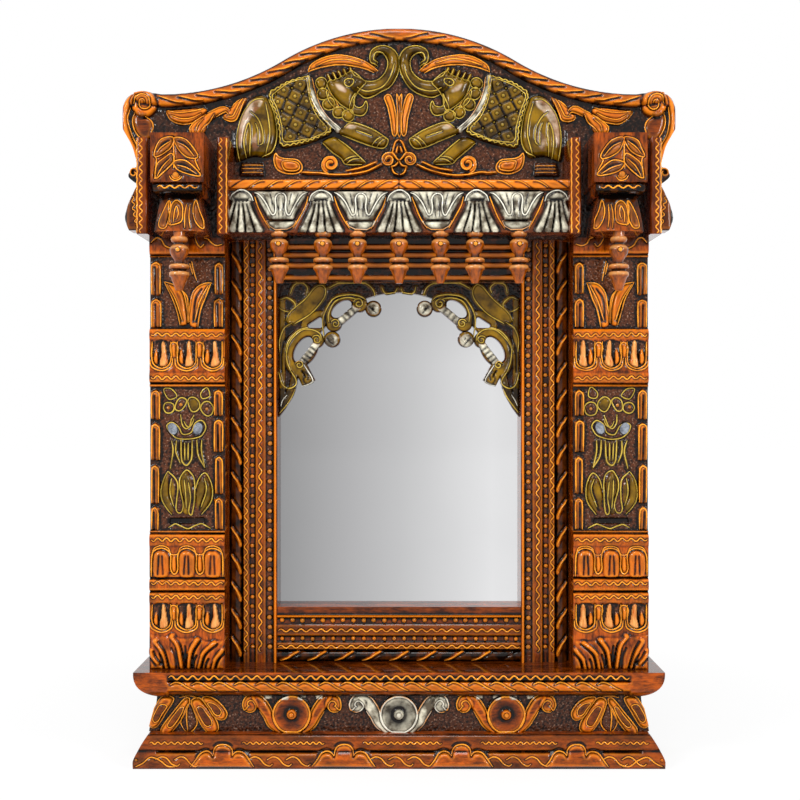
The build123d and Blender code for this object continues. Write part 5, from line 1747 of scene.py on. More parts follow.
def carve_block(side):
    """The corbel block over a column."""
    node = f"corbel_block_{side}"
    front = front_of(node)
    low, high = span(node, 2)
    carving = Carving("block", left_reach(node), (low, high), front - 3.2, side, plane=front - 2)
    # Darker towards the foot of the block: painted shade, lighter at the top where the light falls.
    carving.tone["stain_and_shade"] += 0.3 + 0.4 * eased((high - carving.high) / (high - low))
    for figure in block_leaves:
        carving.swell(figure, 2.4, 2.0, keep=1.4)
        carving.trace(figure, 0.56, closed=True, deep=0.9)
    for line in block_veins:
        carving.cut(line, 7.6, 2.4, stain_and_shade=0.8)
        carving.trace(aside(line, 0, down=1.4), 0.42, deep=0)
    for line in block_stems:
        carving.trace(line, 0.58, deep=0.9)
    carving.bead(block_berry, 2.6, 0.1)
    for reach in (4.4, 6.6):
        carving.trace(spiral(block_ring_middle, reach, reach, 20, 0.4), 0.5)
    carve(f"corbel_carving_{side}", carving, node, upright_wood, mirrored=side == "right")


def carve_bulb(side):
    """The wavy roll and the lotus bulb under a corbel block."""
    node = f"corbel_bulb_{side}"
    front = front_of(node)
    left, right = left_reach(node)
    foot, top = span(node, 2)
    middle = (left + right) / 2
    half = (right - left) / 2
    roll_foot = top - roll_height
    roll_middle = roll_foot + roll_height / 2

    def swelling(z):
        """The share of the bulb's height that lies above a place."""
        return np.clip((roll_foot - z) / (roll_foot - foot), 0, 1)

    def bulb_depth(x, z):
        """The bulb swells towards its foot and is rounded from side to side; a roll tops it."""
        round_side = np.sqrt(np.clip(1 - ((x - middle) / (half + 1.5)) ** 2 * 0.75, 0.05, 1))
        body = front - 13 + 9.5 * swelling(z) ** 0.8 - 12 * (1 - round_side)
        roll = front - 4.4 + 4.2 * rounded((z - roll_middle) / 3.9)
        return np.where(z > roll_foot, roll, body)

    def bulb_shape(x, z):
        """The bulb's front outline: a roll over a body that widens towards its foot."""
        width = np.where(z > roll_foot, half - 0.4, half * (0.72 + 0.28 * swelling(z) ** 0.7))
        return within_outline(x - middle, z, width, foot, top)

    carving = Carving("bulb", (left, right), (foot, top), bulb_depth, side, plane=front - 5,
                      shape=bulb_shape)
    carving.tone["stain_and_shade"] += 0.8 - 0.35 * eased((foot + 9 - carving.high) / 9)
    carving.tone["stain_and_shade"] += 0.3 * (carving.high > roll_foot)
    for figure in bulb_petals:
        carving.swell(figure, 1.2, 2.4, keep=0.9)
        carving.trace(figure, 0.52, closed=True, deep=0.9)
    for line in bulb_lines:
        carving.trace(line, 0.46, deep=0.8)
    carving.trace(wave((left + 4, roll_middle), (right - 4, roll_middle), 7.4, 1.0), 0.6, placed=True)
    carve(f"lotus_bulb_{side}", carving, node, upright_wood, mirrored=side == "right")


def cheek_lines(side):
    """Thin wavy lines laid on the front edges of the two cheek boards."""
    sign = -1 if side == "right" else 1
    cords = []
    for board, waves in cheek_waves.items():
        node = f"capital_cheek_{board}_{side}"
        left, right = left_reach(node)
        foot, top = span(node, 2)
        for share, swing in waves:
            x = left + (right - left) * share
            line = wave((x, foot + 1.0), (x, top - 1.0), 6.2, swing)
            depth = np.full(len(line), 0.35 - front_of(node))
            points = np.column_stack((sign * line[:, 0], depth, line[:, 1])) * mm
            cords.append((points, np.full(len(points), cheek_cord_radius), False))
    mesh = cord_mesh(cords)
    bm = bmesh.new()
    bm.from_mesh(mesh)
    bpy.data.meshes.remove(mesh)
    piece = finish_piece(f"cheek_lines_{side}", bm, upright_wood, ())
    give(piece.data, "gilt", np.ones(len(piece.data.vertices)))


# Inner frame: rope, wavy line, beads, wavy line, studs and a plain arris, from the outside in.

frame_arris_x = 104.6
moulding_rope = 137.7
moulding_hollow = 132.0
moulding_beads = 124.2
moulding_studs = 109.4
moulding_waves = ((129.6, 8.6), (117.4, 9.0))
stud_groove_middle = 109.6
rope_groove_share = 0.09
rail_heights = (0.0, 1.0, 5.2, 10.2, 13.2, 19.8, 27.0, 35.6, 39.0, 40.6)
rail_outs = (143.6, 142.4, 137.7, 132.6, 129.6, 124.2, 117.4, 109.4, 104.6, 103.2)
rail_waves = (13.2, 27.0)
rail_leaf = ((-8, 1.2), (-2, 3.4), (3, 7.0), (7, 9.4))
rope_leaf_pitch = 23.2
soffit_depths = (26.0, 42.0)
soffit_rib_heights = (427.2, 421.0, 412.8, 402.8)
soffit_rib_radius = 2.5
rope_leaf_edge = ((142.4, 6.6), (140.2, 3.4), (136.6, -1.6), (133.8, -8.4))


def moulding_depth(out, front):
    """The depth of the plain moulding at a distance out from the middle of the mirror."""
    depth = np.where(out > moulding_hollow, front - 9.0, front - 1.6)
    depth = np.where(abs(out - moulding_rope) < 5.4, front - 8.0, depth)
    depth = depth - 1.8 * eased((3.0 - abs(out - moulding_beads)) / 0.5) - 1.2 * stud_groove(out)
    return depth + 2.6 * rounded((out - frame_arris_x) / 1.2)


def stud_groove(out):
    """The share of depth of the groove that the studs sit in."""
    return eased((3.6 - abs(out - stud_groove_middle)) / 0.5)


def moulding_stain(out):
    """Dark stain left over the whole moulding but its arris, and most of all round the rope."""
    return 0.46 * (abs(out - frame_arris_x) > 1.0) + 0.4 * (out > moulding_hollow)


def add_rope(carving, out, along, lean, radius=5.0):
    """A rope of long leaves that lies in the outer hollow of the moulding."""
    away = out - moulding_rope
    round_part, groove = rope_height(along, away, radius, rope_leaf_pitch, lean)
    in_groove = eased(1 - groove / rope_groove_share) * (abs(away) < radius)
    carving.depth += 6.4 * round_part**0.8 * (abs(away) < radius) - 1.6 * in_groove
    beside = eased((abs(away) - radius + 0.8) / 0.6) * (out > moulding_hollow)
    carving.darken(np.clip(in_groove + beside, 0, 1))


def add_leaf(carving, leaf, shadow, width, rise):
    """One leaf of the rope, raised from a dark cut and edged with a thin line."""
    carving.cut(leaf + np.array(shadow), width, rise + 0.2, placed=True)
    carving.ridge(leaf, width, rise, slim=(0.4, 1.2), placed=True)
    carving.trace(leaf, 0.6, placed=True, deep=0)


def rope_leaf_lines(low, high):
    """The raised edges of the rope's leaves, as (out, along) places."""
    starts = np.arange(np.ceil(low / rope_leaf_pitch), (high - 10) / rope_leaf_pitch) * rope_leaf_pitch
    return [smooth([(out, start + along) for out, along in rope_leaf_edge]) for start in starts]


def carve_stile(side):
    """One upright of the inner frame."""
    node = f"frame_stile_{side}"
    up = (span(node, 2)[0], span("soffit", 2)[1])
    front = front_of(node)
    carving = Carving("stile", left_reach(node), up, lambda x, z: moulding_depth(-x, front), side,
                      plane=front)
    out = -carving.wide
    add_rope(carving, out, carving.high, -0.66)
    chance = np.random.default_rng(int(carving.hand))
    carving.darken(moulding_stain(out))
    for line in rope_leaf_lines(up[0] + 6, up[1]):
        add_leaf(carving, line * np.array((-1, 1)), (1.7, 1.4), 3.0, 1.6)
    for out_row, pitch in moulding_waves:
        line = wave((-out_row, up[0] + 9), (-out_row, up[1] - 1), pitch, 1.3)
        carving.trace(line, 0.62, placed=True)
    for out_row, pitch, radius in ((moulding_beads, 8.5, 1.7), (moulding_studs, 8.2, 2.05)):
        start = up[0] + 9 + pitch / 2
        while start < up[1] - 2:
            place = (-out_row + chance.uniform(-0.3, 0.3), start + chance.uniform(-0.5, 0.5))
            carving.bead_at(place, radius, 0.3)
            start += pitch
    carving.paint("ground", 0.75 * stud_groove(out))
    carve(f"{node}_carving", carving, node, upright_wood, mirrored=side == "right")


def make_top_rail():
    """The plain rail between the tops of the stiles, hidden in front by the soffit."""
    node = "frame_rail_top"
    near = left_reach("frame_stile_left")[1]
    low, high = span(node, 2)
    bm = bmesh.new()
    size = Matrix.Diagonal((-2 * near, front_of(node) - back_of(node), high - low, 1))
    middle = Matrix.Translation((0, -(front_of(node) + back_of(node)) / 2, (low + high) / 2))
    bmesh.ops.create_cube(bm, size=1, matrix=middle @ size)
    bmesh.ops.scale(bm, vec=(mm, mm, mm), verts=bm.verts)
    finish_piece("top_rail", bm, back_wood, (node,))


def carve_soffit():
    """The sloping board behind the turned drops, with level ribs, between the stiles, darkened as painted
    shade under the cornice with its rib tops left lighter as a painted highlight.
    """
    node = "soffit"
    low, high = span(node, 2)
    foot_depth, top_depth = soffit_depths
    fall = (top_depth - foot_depth) / (high - low)
    carving = Carving("soffit", (-frame_arris_x, frame_arris_x), (low, high),
                      lambda x, z: foot_depth + fall * (z - low))
    # Painted shade over the whole soffit, lifted on the rib tops as a painted highlight.
    carving.tone["stain_and_shade"] += 0.94
    for height in soffit_rib_heights:
        round_part = rounded((carving.high - height) / soffit_rib_radius)
        carving.depth += soffit_rib_radius * round_part
        carving.tone["stain_and_shade"] -= 0.66 * eased((round_part - 0.6) / 0.3)
    carving.tone["stain_and_shade"] = np.clip(carving.tone["stain_and_shade"], 0, 1)
    carve("ribbed_soffit", carving, node, level_wood)


def carve_rail():
    """The bottom rail of the inner frame, with the same moulding laid level."""
    node = "frame_rail_bottom"
    across, up = span(node, 0), span(node, 2)
    front = front_of(node)
    foot = up[0]

    def out_of(z):
        """The place on the stiles' moulding that matches a height on the rail."""
        return np.interp(z - foot, rail_heights, rail_outs)

    carving = Carving("rail", across, up, lambda x, z: moulding_depth(out_of(z), front), plane=front)
    out = out_of(carving.high)
    add_rope(carving, out, carving.wide, 0.9)
    chance = np.random.default_rng(int(carving.hand))
    carving.darken(moulding_stain(out) + 0.1)
    first, last = across[0] / rope_leaf_pitch, across[1] / rope_leaf_pitch
    for x in np.arange(np.ceil(first), last - 0.5) * rope_leaf_pitch:
        add_leaf(carving, smooth(aside(rail_leaf, x, down=foot)), (1.5, -1.5), 2.8, 1.4)
    for height in rail_waves:
        line = wave((across[0] + 1, foot + height), (across[1] - 1, foot + height), 8.6, 1.2)
        carving.trace(line, 0.62, placed=True)
    for height, pitch, radius in ((foot + 19.8, 8.6, 1.7), (foot + 35.6, 8.6, 2.0)):
        x = across[0] + pitch / 2
        while x < across[1] - 2:
            place = (x + chance.uniform(-0.4, 0.4), height + chance.uniform(-0.3, 0.3))
            carving.bead_at(place, radius, 0.3)
            x += pitch
    carve(f"{node}_carving", carving, node, level_wood)


# Pierced arch in front of the glass

ring_places = ((0.796, 0.51, 12.0, 6.6, -58.0), (0.478, 0.809, 10.0, 5.6, -38.0))
curl_places = ((0.689, 0.579), (0.329, 0.845), (0.541, 0.701))
knob_places = ((0.555, 0.585), (0.213, 0.81))
arch_tab = (0.785, 0.325)
arch_tab_turn = -27.0
arch_tab_half = (6.0, 8.5)
arch_slack = 0.2
springing_share = 0.05
opening_width_share = 0.875
opening_height_share = 0.88
ring_band = 5.0
curl_radius = 7.0
arch_gap = np.array(((76.2, 363.4), (67.8, 368.8), (67.4, 363.4)))
arch_tail = ((284.0, 103.6), (292.7, 97.1), (300.9, 92.3), (309.2, 88.9))
arch_half = 103.0
arch_front = 15.8
arch_height = 116.0


def arch_shape(x, z):
    """The outline of one side of the pierced arch: the distance inside its edges."""
    foot, top = span("arch_left", 2)
    x = -x

    def place(across, up):
        return across * arch_half, top - arch_height + up * arch_height

    def turned(centre, turn):
        """Places measured from a centre, along and across a direction."""
        angle = radians(turn)
        dx, dz = x - centre[0], z - centre[1]
        return dx * cos(angle) + dz * sin(angle), dz * cos(angle) - dx * sin(angle)

    def oval(centre, half_length, half_width, turn=0.0):
        u, v = turned(centre, turn)
        return (1 - np.hypot(u / half_length, v / half_width)) * min(half_length, half_width)

    springing = place(0, springing_share)
    opening_half = opening_width_share * arch_half
    opening = oval(springing, opening_half, opening_height_share * arch_height)
    opening = np.where(z < springing[1], opening_half - abs(x), opening)
    sides = np.minimum(arch_half - arch_slack - x, x - arch_slack)
    field = np.minimum(np.minimum(sides, np.minimum(z - foot, top - z)), -opening)
    for across, up, length, width, turn in ring_places:
        field = np.maximum(field, oval(place(across, up), length + ring_band, width + ring_band, turn))
    for share in curl_places + knob_places:
        field = np.maximum(field, oval(place(*share), curl_radius, curl_radius))
    u, v = turned(place(*arch_tab), arch_tab_turn)
    field = np.maximum(field, np.minimum(arch_tab_half[0] - abs(u), arch_tab_half[1] - abs(v)))
    for across, up, length, width, turn in ring_places:
        field = np.minimum(field, -oval(place(across, up), length, width, turn))
    scale = (eye_distance - arch_front) / lens_pixels
    for bar_ends in link_bars:
        ends = [((middle_px - px) * scale, eye_height + (middle_py - py) * scale) for px, py in bar_ends]
        gap, _ = distance(x, z, ends, False)
        field = np.maximum(field, link_half_width - gap)
    tail_edge = np.interp(z, *np.transpose(arch_tail))
    field = np.where(z < arch_tail[-1][0], np.minimum(field, (x - tail_edge) * 0.8), field)
    edge, _ = distance(x, z, arch_gap, True)
    field = np.minimum(field, np.where(inside(x, z, arch_gap), -edge, edge) - 1.8)
    return np.minimum(field, np.minimum(arch_half - arch_slack - x, top - z))


arch_tail_hollow = ((279, 389), (291, 391), (288, 400), (283, 409), (278.6, 414))
arch_long_leaf = ((285.6, 321), (290.2, 312), (305, 299), (314.6, 287.6), (321.3, 284.9), (325.2, 290.3),
                  (322.9, 299.7), (310.4, 313.7), (294, 323.8))
arch_lines = (
    arch_long_leaf,
    ((290.2, 293.4), (293.3, 285), (301, 282.4), (307.3, 287.2), (306, 293.4)),
    ((279.6, 300), (287, 297.3), (294.4, 302.8), (294.6, 309)),
    ((280, 352), (279.6, 340), (284, 328), (292, 322.6)),
    ((278.6, 372), (282, 384), (288, 388.4), (294.6, 386), (296, 380), (290.6, 371)),
    ((290.6, 371), (287, 360), (287, 348), (292.6, 338), (302.6, 330), (312.6, 329.6), (320, 334),
     (321.6, 341)),
    ((284.6, 352), (288.6, 341), (297.6, 331), (308, 327.4)),
    ((324, 338), (322.6, 322), (325.6, 310), (334, 298), (348, 294.6), (360, 296), (366, 300.4)),
    ((329, 322), (328.6, 314), (334.6, 302), (346, 297.6), (358, 299)),
    ((328.3, 288), (340, 282.5), (357, 281), (369.5, 285.7), (374.2, 293.4), (373.4, 298)),
    ((276.4, 304), (281.6, 309.6), (288.6, 312)),
    ((382, 287), (384, 292), (389, 294.6), (394.4, 293.4), (397, 288.4)),
)
link_bars = (((303.0, 361.0), (315.6, 344.8)), ((338.0, 323.0), (357.2, 306.7)))
arch_curls = (((316.6, 339.8), 4.8), ((358.4, 303.6), 5.4), ((335.6, 323.6), 4.6), ((299.4, 365), 4.2))
knob_pixels = ((331.4, 340.4), (373.4, 308.6))
knob_radius = 6.4
knob_facet = ((-4, -3), (1, -4), (3.4, 3))
knob_slit = ((-4.4, -2.4), (-1, 1.4), (2.4, 4.6))
arch_tab_edge = ((303.6, 364.6), (312.4, 379), (309.6, 383.6), (300.4, 386.4))
arch_tab_slits = (
    ((301.6, 371), (304.4, 375), (303, 380), (305.4, 384)),
    ((305.4, 371.6), (308.4, 375.6), (307.6, 380)),
)
arch_tail_lines = (
    (((294.8, 388.8), (291, 397), (285.6, 405.4), (279.4, 413)), "olive"),
    (((286.6, 395), (282.6, 400.6), (280.8, 406)), "silver"),
)
arch_band_darks = (
    ((326.2, 330), (325.4, 315), (330.6, 303.6), (340.6, 296.4), (353, 296)),
    ((286.6, 356), (289.6, 344.6), (297.6, 333.6), (308.6, 328.6), (316.4, 331.6)),
    ((281.4, 372), (281.6, 352), (285.6, 338), (292, 330)),
)
link_half_width = 3.2


def carve_arch(side):
    """One side of the pierced arch, with silver links between its curls."""
    node = f"arch_{side}"
    front = front_of(node)
    up = span(node, 2)
    carving = Carving("arch", left_reach(node), up, front - 2.2, side, plane=front, shape=arch_shape)
    carving.paint("ground", 0.9)
    carving.tone["stain_and_shade"] += 0.62
    gap = arch_shape(carving.wide, carving.high)
    rim = eased(gap / 1.2) * eased(6.0 - gap) * (carving.high < up[1] - 14)
    carving.depth += 1.8 * rim
    carving.paint("olive", rim)
    carving.tone["stain_and_shade"] *= 1 - rim
    carving.shade(arch_tail_hollow, 0.85)
    carving.swell(arch_long_leaf, 2.0, 3, "olive")
    for line in arch_lines:
        carving.ridge(line, 3.4, 1.1, "olive")
    for line in arch_band_darks:
        carving.cut(line, 2.6, 0.8)
    for line in arch_lines:
        carving.trace(line, 0.5, deep=0.9)
    for start, end in link_bars:
        bar_line = carving.at(np.linspace(start, end, 14))
        carving.ridge(bar_line, 6.4, 1.6, "silver", placed=True)
        run = bar_line[-1] - bar_line[0]
        over = np.array((-run[1], run[0])) / np.hypot(*run) * 3.4
        for place in bar_line[1:-1:3]:
            carving.cut(np.array((place - over, place + over)), 3.4, 1.0, stain_and_shade=0.75, placed=True)
    for pixel, radius in arch_curls:
        carving.swell(spiral(pixel, radius, radius, 0, 1), 1.0, 2, "olive")
        carving.trace(spiral(pixel, radius, 1.2, 200, 1.3), 0.5, deep=0.9)
    for x, y in knob_pixels:
        carving.swell(spiral((x, y), knob_radius, knob_radius, 0, 1), 2.4, knob_radius, "silver")
        carving.swell(aside(knob_facet, x, down=y), 1.6, 2, "silver", curve=False)
        carving.cut(aside(knob_slit, x, down=y), 1.8, 1.2, stain_and_shade=0.9)
    carving.swell(arch_tab_edge, 1.4, 2.4, "olive", curve=False)
    carving.trace(arch_tab_edge, 0.5, tone="silver")
    for line in arch_tab_slits:
        carving.cut(line, 2.4, 1.2)
    for line, tone in arch_tail_lines:
        carving.trace(line, 0.5, tone=tone, deep=0.8)
    carving.stipple(0.8)
    carve(f"{node}_carving", carving, node, level_wood, mirrored=side == "right")


# Sill, frieze and plinth

sill_band_height = 14.0
sill_rope_height = 9.4
sill_rope_radius = 4.4
sill_end = 26.0
sill_strand = ((0, 1.6), (4, 3.2), (9, 2.4), (14, -0.6), (20, -3.6))
sill_strand_pitch = 17.4


def carve_sill():
    """The sill: a wavy line on a dark band over a rope, with quarter-round ends."""
    node = "sill"
    across, (low, high) = span(node, 0), span(node, 2)
    front = front_of(node)
    half = across[1]
    rope_middle = low + sill_rope_height
    band_foot = low + sill_band_height

    def profile(x, z):
        """A flat band over a rope that sits in a hollow, then an undercut; the ends are plain."""
        rope = sill_rope_radius * rounded((z - rope_middle) / sill_rope_radius)
        hollow = front - 5.4 + rope * (abs(x) < half - sill_end)
        body = np.where(z > band_foot, front - 0.9, hollow)
        under = np.clip((low + 4.6 - z) / 4.6, 0, 1)
        plain = front - 1.0 - 7.0 * np.clip((low + 12 - z) / 12, 0, 1) ** 2
        edge = np.clip((abs(x) - (half - sill_end - 3)) / 2, 0, 1)
        return (body - 5.0 * under**1.5) * (1 - edge) + plain * edge

    def shape(x, z):
        """The ends are quarter rounds that draw in towards the foot."""
        fall = np.clip((high - 2.0 - z) / (high - 2.0 - low), 0, 1)
        return within_outline(x, z, half - 22.0 * (1 - rounded(fall)), low, high)

    carving = Carving("sill", across, (low, high), profile, plane=front, shape=shape)
    x, z = carving.wide, carving.high
    on_band = (z > band_foot + 0.2) * (z < high - 2.2) * (abs(x) < half - sill_end - 1)
    foot_stain = 0.7 * eased((low + 5 - z) / 4) * (abs(x) < half - sill_end + 2)
    carving.tone["stain_and_shade"] = 0.14 + 0.9 * on_band + foot_stain
    line_end = half - sill_end - 3
    line = wave((-line_end, low + 17.0), (line_end, low + 17.0), 8.7, 1.5)
    carving.trace(line, 0.66, placed=True)
    on_rope = (abs(z - rope_middle) < sill_rope_radius) & (abs(x) < half - sill_end) & (z > low + 6)
    carving.tone["stain_and_shade"] *= ~on_rope
    groove_end = line_end - 1
    groove = np.array(((-groove_end, band_foot), (0, band_foot), (groove_end, band_foot)))
    carving.cut(groove, 2.2, 1.6, placed=True)
    for start in np.arange(-groove_end, half - 40, sill_strand_pitch):
        strand = smooth(aside(sill_strand, start, down=rope_middle))
        carving.trace(strand, 0.66, placed=True, deep=1.2)
    carve("sill_carving", carving, node, level_wood, side_stain=0.72)


roundel_scroll_px = (
    (-43.4, -9.0), (-47.6, -3.6), (-49.4, -10.4), (-46.6, -17), (-41, -19.8), (-34.4, -19.6),
    (-27.4, -15.4), (-20.4, -4.6), (-15.8, 8), (-9.6, 16), (0.4, 19.6),
)
roundel_tail_px = ((-32.6, -3.0), (-28, 4), (-23.4, 12), (-14.6, 19.4), (-5.4, 24), (3, 24.4))
fan_leaves = (
    ((161.5, 697.6), (153, 711), (147.8, 722.4), (150.8, 728.4), (157, 726.4), (165.6, 713),
     (173, 699.6)),
    ((184, 700), (173, 713), (161.4, 728.6), (161.6, 735), (169, 734.4), (179.6, 722), (187, 708),
     (189, 700)),
    ((191, 702), (195, 714.4), (201, 726), (208, 733.5), (216.6, 731.5), (216.6, 723), (208, 709),
     (198.6, 699)),
    ((201.5, 699.4), (208, 709), (215, 718.5), (223, 720.6), (226, 714), (219, 703.6), (209, 698)),
)
fan_middle = ((189, 704), (183, 714), (180.4, 724), (187.6, 734), (196.4, 725), (193, 712))
fan_lines = (
    ((186.6, 706), (186, 720), (187.4, 733)),
    ((178.5, 699), (187.6, 696.8), (197, 699)),
)


roundels = ((291.6, "wood"), (399.0, "silver"), (506.4, "wood"))
roundel_row = 715.0
roundel_radius = 15.4
painted_glint_bar_middles = (267.4, 284.6, 301.6, 318.6, 479.4, 496.4, 513.6, 530.6)
painted_glint_bar = ((-4, 691), (3, 691), (4, 699.4), (-3, 700.4))


def carve_frieze():
    """The frieze: three roundels held by scrolls, a lotus fan at each corner, and small raised bars
    coloured silver as painted reflections.
    """
    node = "frieze"
    across, (low, high) = span(node, 0), span(node, 2)
    front = front_of(node)

    def shape(x, z):
        """The ends lean out towards the foot and are waisted above."""
        rise = np.clip((z - low) / (high - low), 0, 1)
        return within_outline(x, z, across[1] - 6.5 * np.sin(rise * pi / 2) ** 1.5, low, high)

    carving = Carving("frieze", across, (low, high), front - 5.6, plane=front - 2, shape=shape)
    carving.paint("ground", 1.0)
    carving.tone["stain_and_shade"] += 0.2
    for middle, tone in roundels:
        roundel(carving, middle, tone)
    for turn in (False, True):
        for figure in fan_leaves:
            figure = flipped(figure, middle_px) if turn else figure
            carving.swell(figure, 4.0, 3.0, line=0.6)
            middle = np.mean(figure, axis=0)
            vein = middle + (np.array(figure) - middle) * 0.56
            carving.cut(vein, 2.4, 1.0, closed=True)
            carving.shade(vein, 0.7)
            carving.trace(vein, 0.42, closed=True, deep=0)
        centre = flipped(fan_middle, middle_px) if turn else fan_middle
        carving.swell(centre, 1.4, 2, "ground", line=0.5)
        for line in fan_lines:
            carving.trace(flipped(line, middle_px) if turn else line, 0.58)
    # Painted reflection: small raised bars coloured silver stand in for glints under the top edge.
    for middle in painted_glint_bar_middles:
        carving.swell(aside(painted_glint_bar, middle), 1.4, 2.0, "silver", curve=False)
    carving.stipple(0.7)
    carve("frieze_carving", carving, node, level_wood)


def roundel(carving, middle, tone):
    """A dished roundel with a boss, held in two scrolls."""
    for sign in (-1, 1):
        scroll = aside(roundel_scroll_px, middle, -sign, roundel_row)
        tail = aside(roundel_tail_px, middle, -sign, roundel_row)
        carving.swell(scroll[4:] + tail[::-1], 3.2, 2.6, tone)
        eye = spiral((middle + sign * 41.6, roundel_row - 10.4), 8.4, 8.4, 0, 1)
        carving.swell(eye, 3.0, 4, tone)
        carving.trace(scroll, 0.64)
        carving.trace(tail, 0.6)
        curl_start = 60 if sign > 0 else 120
        curl = spiral((middle + sign * 42.0, roundel_row - 9.6), 8.4, 1.0, curl_start, sign)
        carving.trace(curl, 0.55)
    place = carving.at((middle, roundel_row))[0]
    gap = np.hypot(carving.wide - place[0], carving.high - place[1])
    part = gap < roundel_radius
    hollow = 3.0 * eased((1 - gap / roundel_radius) * 1.6)
    dish = carving.plane + 0.4 - hollow + 3.4 * eased(4.4 - gap)
    carving.depth = np.where(part, dish, carving.depth)
    carving.paint(tone, part)
    ring_stain = 0.9 * eased(1 - abs(gap - 4.8) / 1.1)
    dish_stain = 0.5 * eased((roundel_radius - 1.5 - gap) / 3) * (gap > 4.4)
    carving.tone["stain_and_shade"] = np.where(part, np.clip(ring_stain + dish_stain, 0, 1), carving.tone["stain_and_shade"])
    angles = np.linspace(0, tau, 72)[:-1]
    circle = place + 15.0 * np.column_stack((np.cos(angles), np.sin(angles)))
    carving.trace(circle, 0.75, closed=True, placed=True)
    carving.bead_at(place, 2.0, 0.5)


cusp_middles = (222.0, 343.6, 461.4, 577.0)
middle_cusp = ((-9.6, 12), (-8.6, 5.8), (-5.4, 2.2), (0, 0.8), (5.4, 2.2), (8.8, 5.8), (9.6, 12))
side_cusp = ((9.6, 12), (12.6, 9.0), (17.4, 8.2), (22.6, 10.6), (27, 16.0), (31.4, 22.4))


cusp_row = 744.8
plinth_pixel = 0.812
plinth_groove_height = 13.2
wave_scroll = ((-3, 7.6), (2, 9.8), (6.6, 8.4), (10.4, 4.4), (14.6, 2.6), (17, 4.4))
wave_scroll_pitch = 15.4
end_hump = ((0, 2), (6, 5), (12, 9.4), (20, 7), (26, 2.6), (32, 2))


def carve_plinth():
    """The plinth: a beaded top, a groove, and a lower roll with wave lines and triple cusps."""
    node = "plinth"
    across, (low, high) = span(node, 0), span(node, 2)
    front = front_of(node)
    half = across[1]

    def profile(x, z):
        """A lower roll, a groove and an upper bead."""
        roll = front - 0.8 - 3.4 * np.clip((z - low - 5) / 8.0, 0, 1) ** 2
        roll = roll - 1.2 * np.clip((low + 4 - z) / 4, 0, 1) ** 2
        bead = front - 6.2 + 3.0 * rounded((z - low - 20.2) / 6.8)
        return np.where(z > low + plinth_groove_height + 0.2, bead, roll)

    def shape(x, z):
        """Spread feet: the ends lean in towards the top."""
        rise = np.clip((z - low - 6) / (high - low - 6), 0, 1)
        return within_outline(x, z, half - 0.6 - 11.5 * rise**1.25, low, high)

    carving = Carving("plinth", across, (low, high), profile, plane=front, shape=shape)
    carving.tone["stain_and_shade"] += 0.4 + 0.2 * eased((carving.high - low - 20) / 6)
    edges = [(middle - middle_px) * plinth_pixel for middle in cusp_middles]
    starts = [20 - half] + [edge + 22 for edge in edges]
    ends = [edge - 22 for edge in edges] + [half - 20]
    for start, end in zip(starts, ends):
        if end - start > 8:
            plinth_stretch(carving, start, end, low)
    for middle in cusp_middles:
        plinth_cusp(carving, middle)
    for sign in (-1, 1):
        hump = aside(end_hump, sign * (half - 3), -sign, low)
        carving.trace(smooth(hump), 0.6, placed=True)
        carving.bead_at((sign * (half - 3.4), low + 7.4), 1.2)
    carve("plinth_carving", carving, node, level_wood)


def plinth_stretch(carving, start, end, low):
    """The groove, the wavy line and the wave scrolls between two cusps."""
    groove_z = low + plinth_groove_height
    groove = np.array(((start, groove_z), ((start + end) / 2, groove_z), (end, groove_z)))
    carving.cut(groove, 2.6, 2.4, placed=True)
    line = wave((start - 6, low + 20.6), (end + 6, low + 20.6), 5.2, 0.9)
    carving.trace(line, 0.55, placed=True)
    for place in np.arange(start + 2, end - 10, wave_scroll_pitch):
        carving.trace(smooth(aside(wave_scroll, place, down=low)), 0.58, placed=True)


def plinth_cusp(carving, middle):
    """A hanging dome with a leaf to each side."""
    dome = aside(middle_cusp, middle, down=cusp_row)
    leaves = [aside(side_cusp[1:], middle, 1, cusp_row), aside(side_cusp[:0:-1], middle, -1, cusp_row)]
    carving.swell(dome + leaves[0] + leaves[1], 1.8, 2.4, curve=False)
    carving.trace(dome, 0.62)
    halo = [(middle + x * 1.12, cusp_row - 2.6 + y * 0.9) for x, y in middle_cusp[1:-1]]
    carving.cut(halo, 2.0, 1.0)
    for sign in (-1, 1):
        carving.trace(aside(side_cusp, middle, sign, cusp_row), 0.62)
        shade = aside(aside(side_cusp[1:-1], 0.6, down=-3.2), middle, sign, cusp_row)
        carving.cut(shade, 1.8, 0.9)


# The pieces

for side_name in ("left", "right"):
    carve_column(side_name)
    carve_crest(side_name)
    carve_block(side_name)
    carve_bulb(side_name)
    cheek_lines(side_name)
    carve_stile(side_name)
    carve_arch(side_name)
carve_cornice()
carve_rope()
turn_drops()
make_top_rail()
carve_soffit()
carve_rail()
carve_sill()
carve_frieze()
carve_plinth()

finishes = {
    "mirror_glass": mirror_with_painted_reflection,
    "column_nails": steel,
    "glazing_points": steel,
    "hanger_tacks": steel,
}
for side_name in ("left", "right"):
    # The cheek boards take the darker copy of the wood: painted shade.
    finishes[f"capital_cheek_inner_{side_name}"] = painted_shade_upright_wood
    finishes[f"capital_cheek_outer_{side_name}"] = painted_shade_upright_wood
    finishes[f"niche_mirror_{side_name}"] = mirror_with_painted_reflection
    finishes[f"hanger_ring_{side_name}"] = brass
    finishes[f"hanger_strap_{side_name}"] = brass
for node_name, packed in nodes.items():
    finish = finishes.get(node_name, back_wood)
    for material_slot in packed.material_slots:
        material_slot.material = finish
    if not packed.material_slots:
        packed.data.materials.append(finish)


# Floor, light and camera

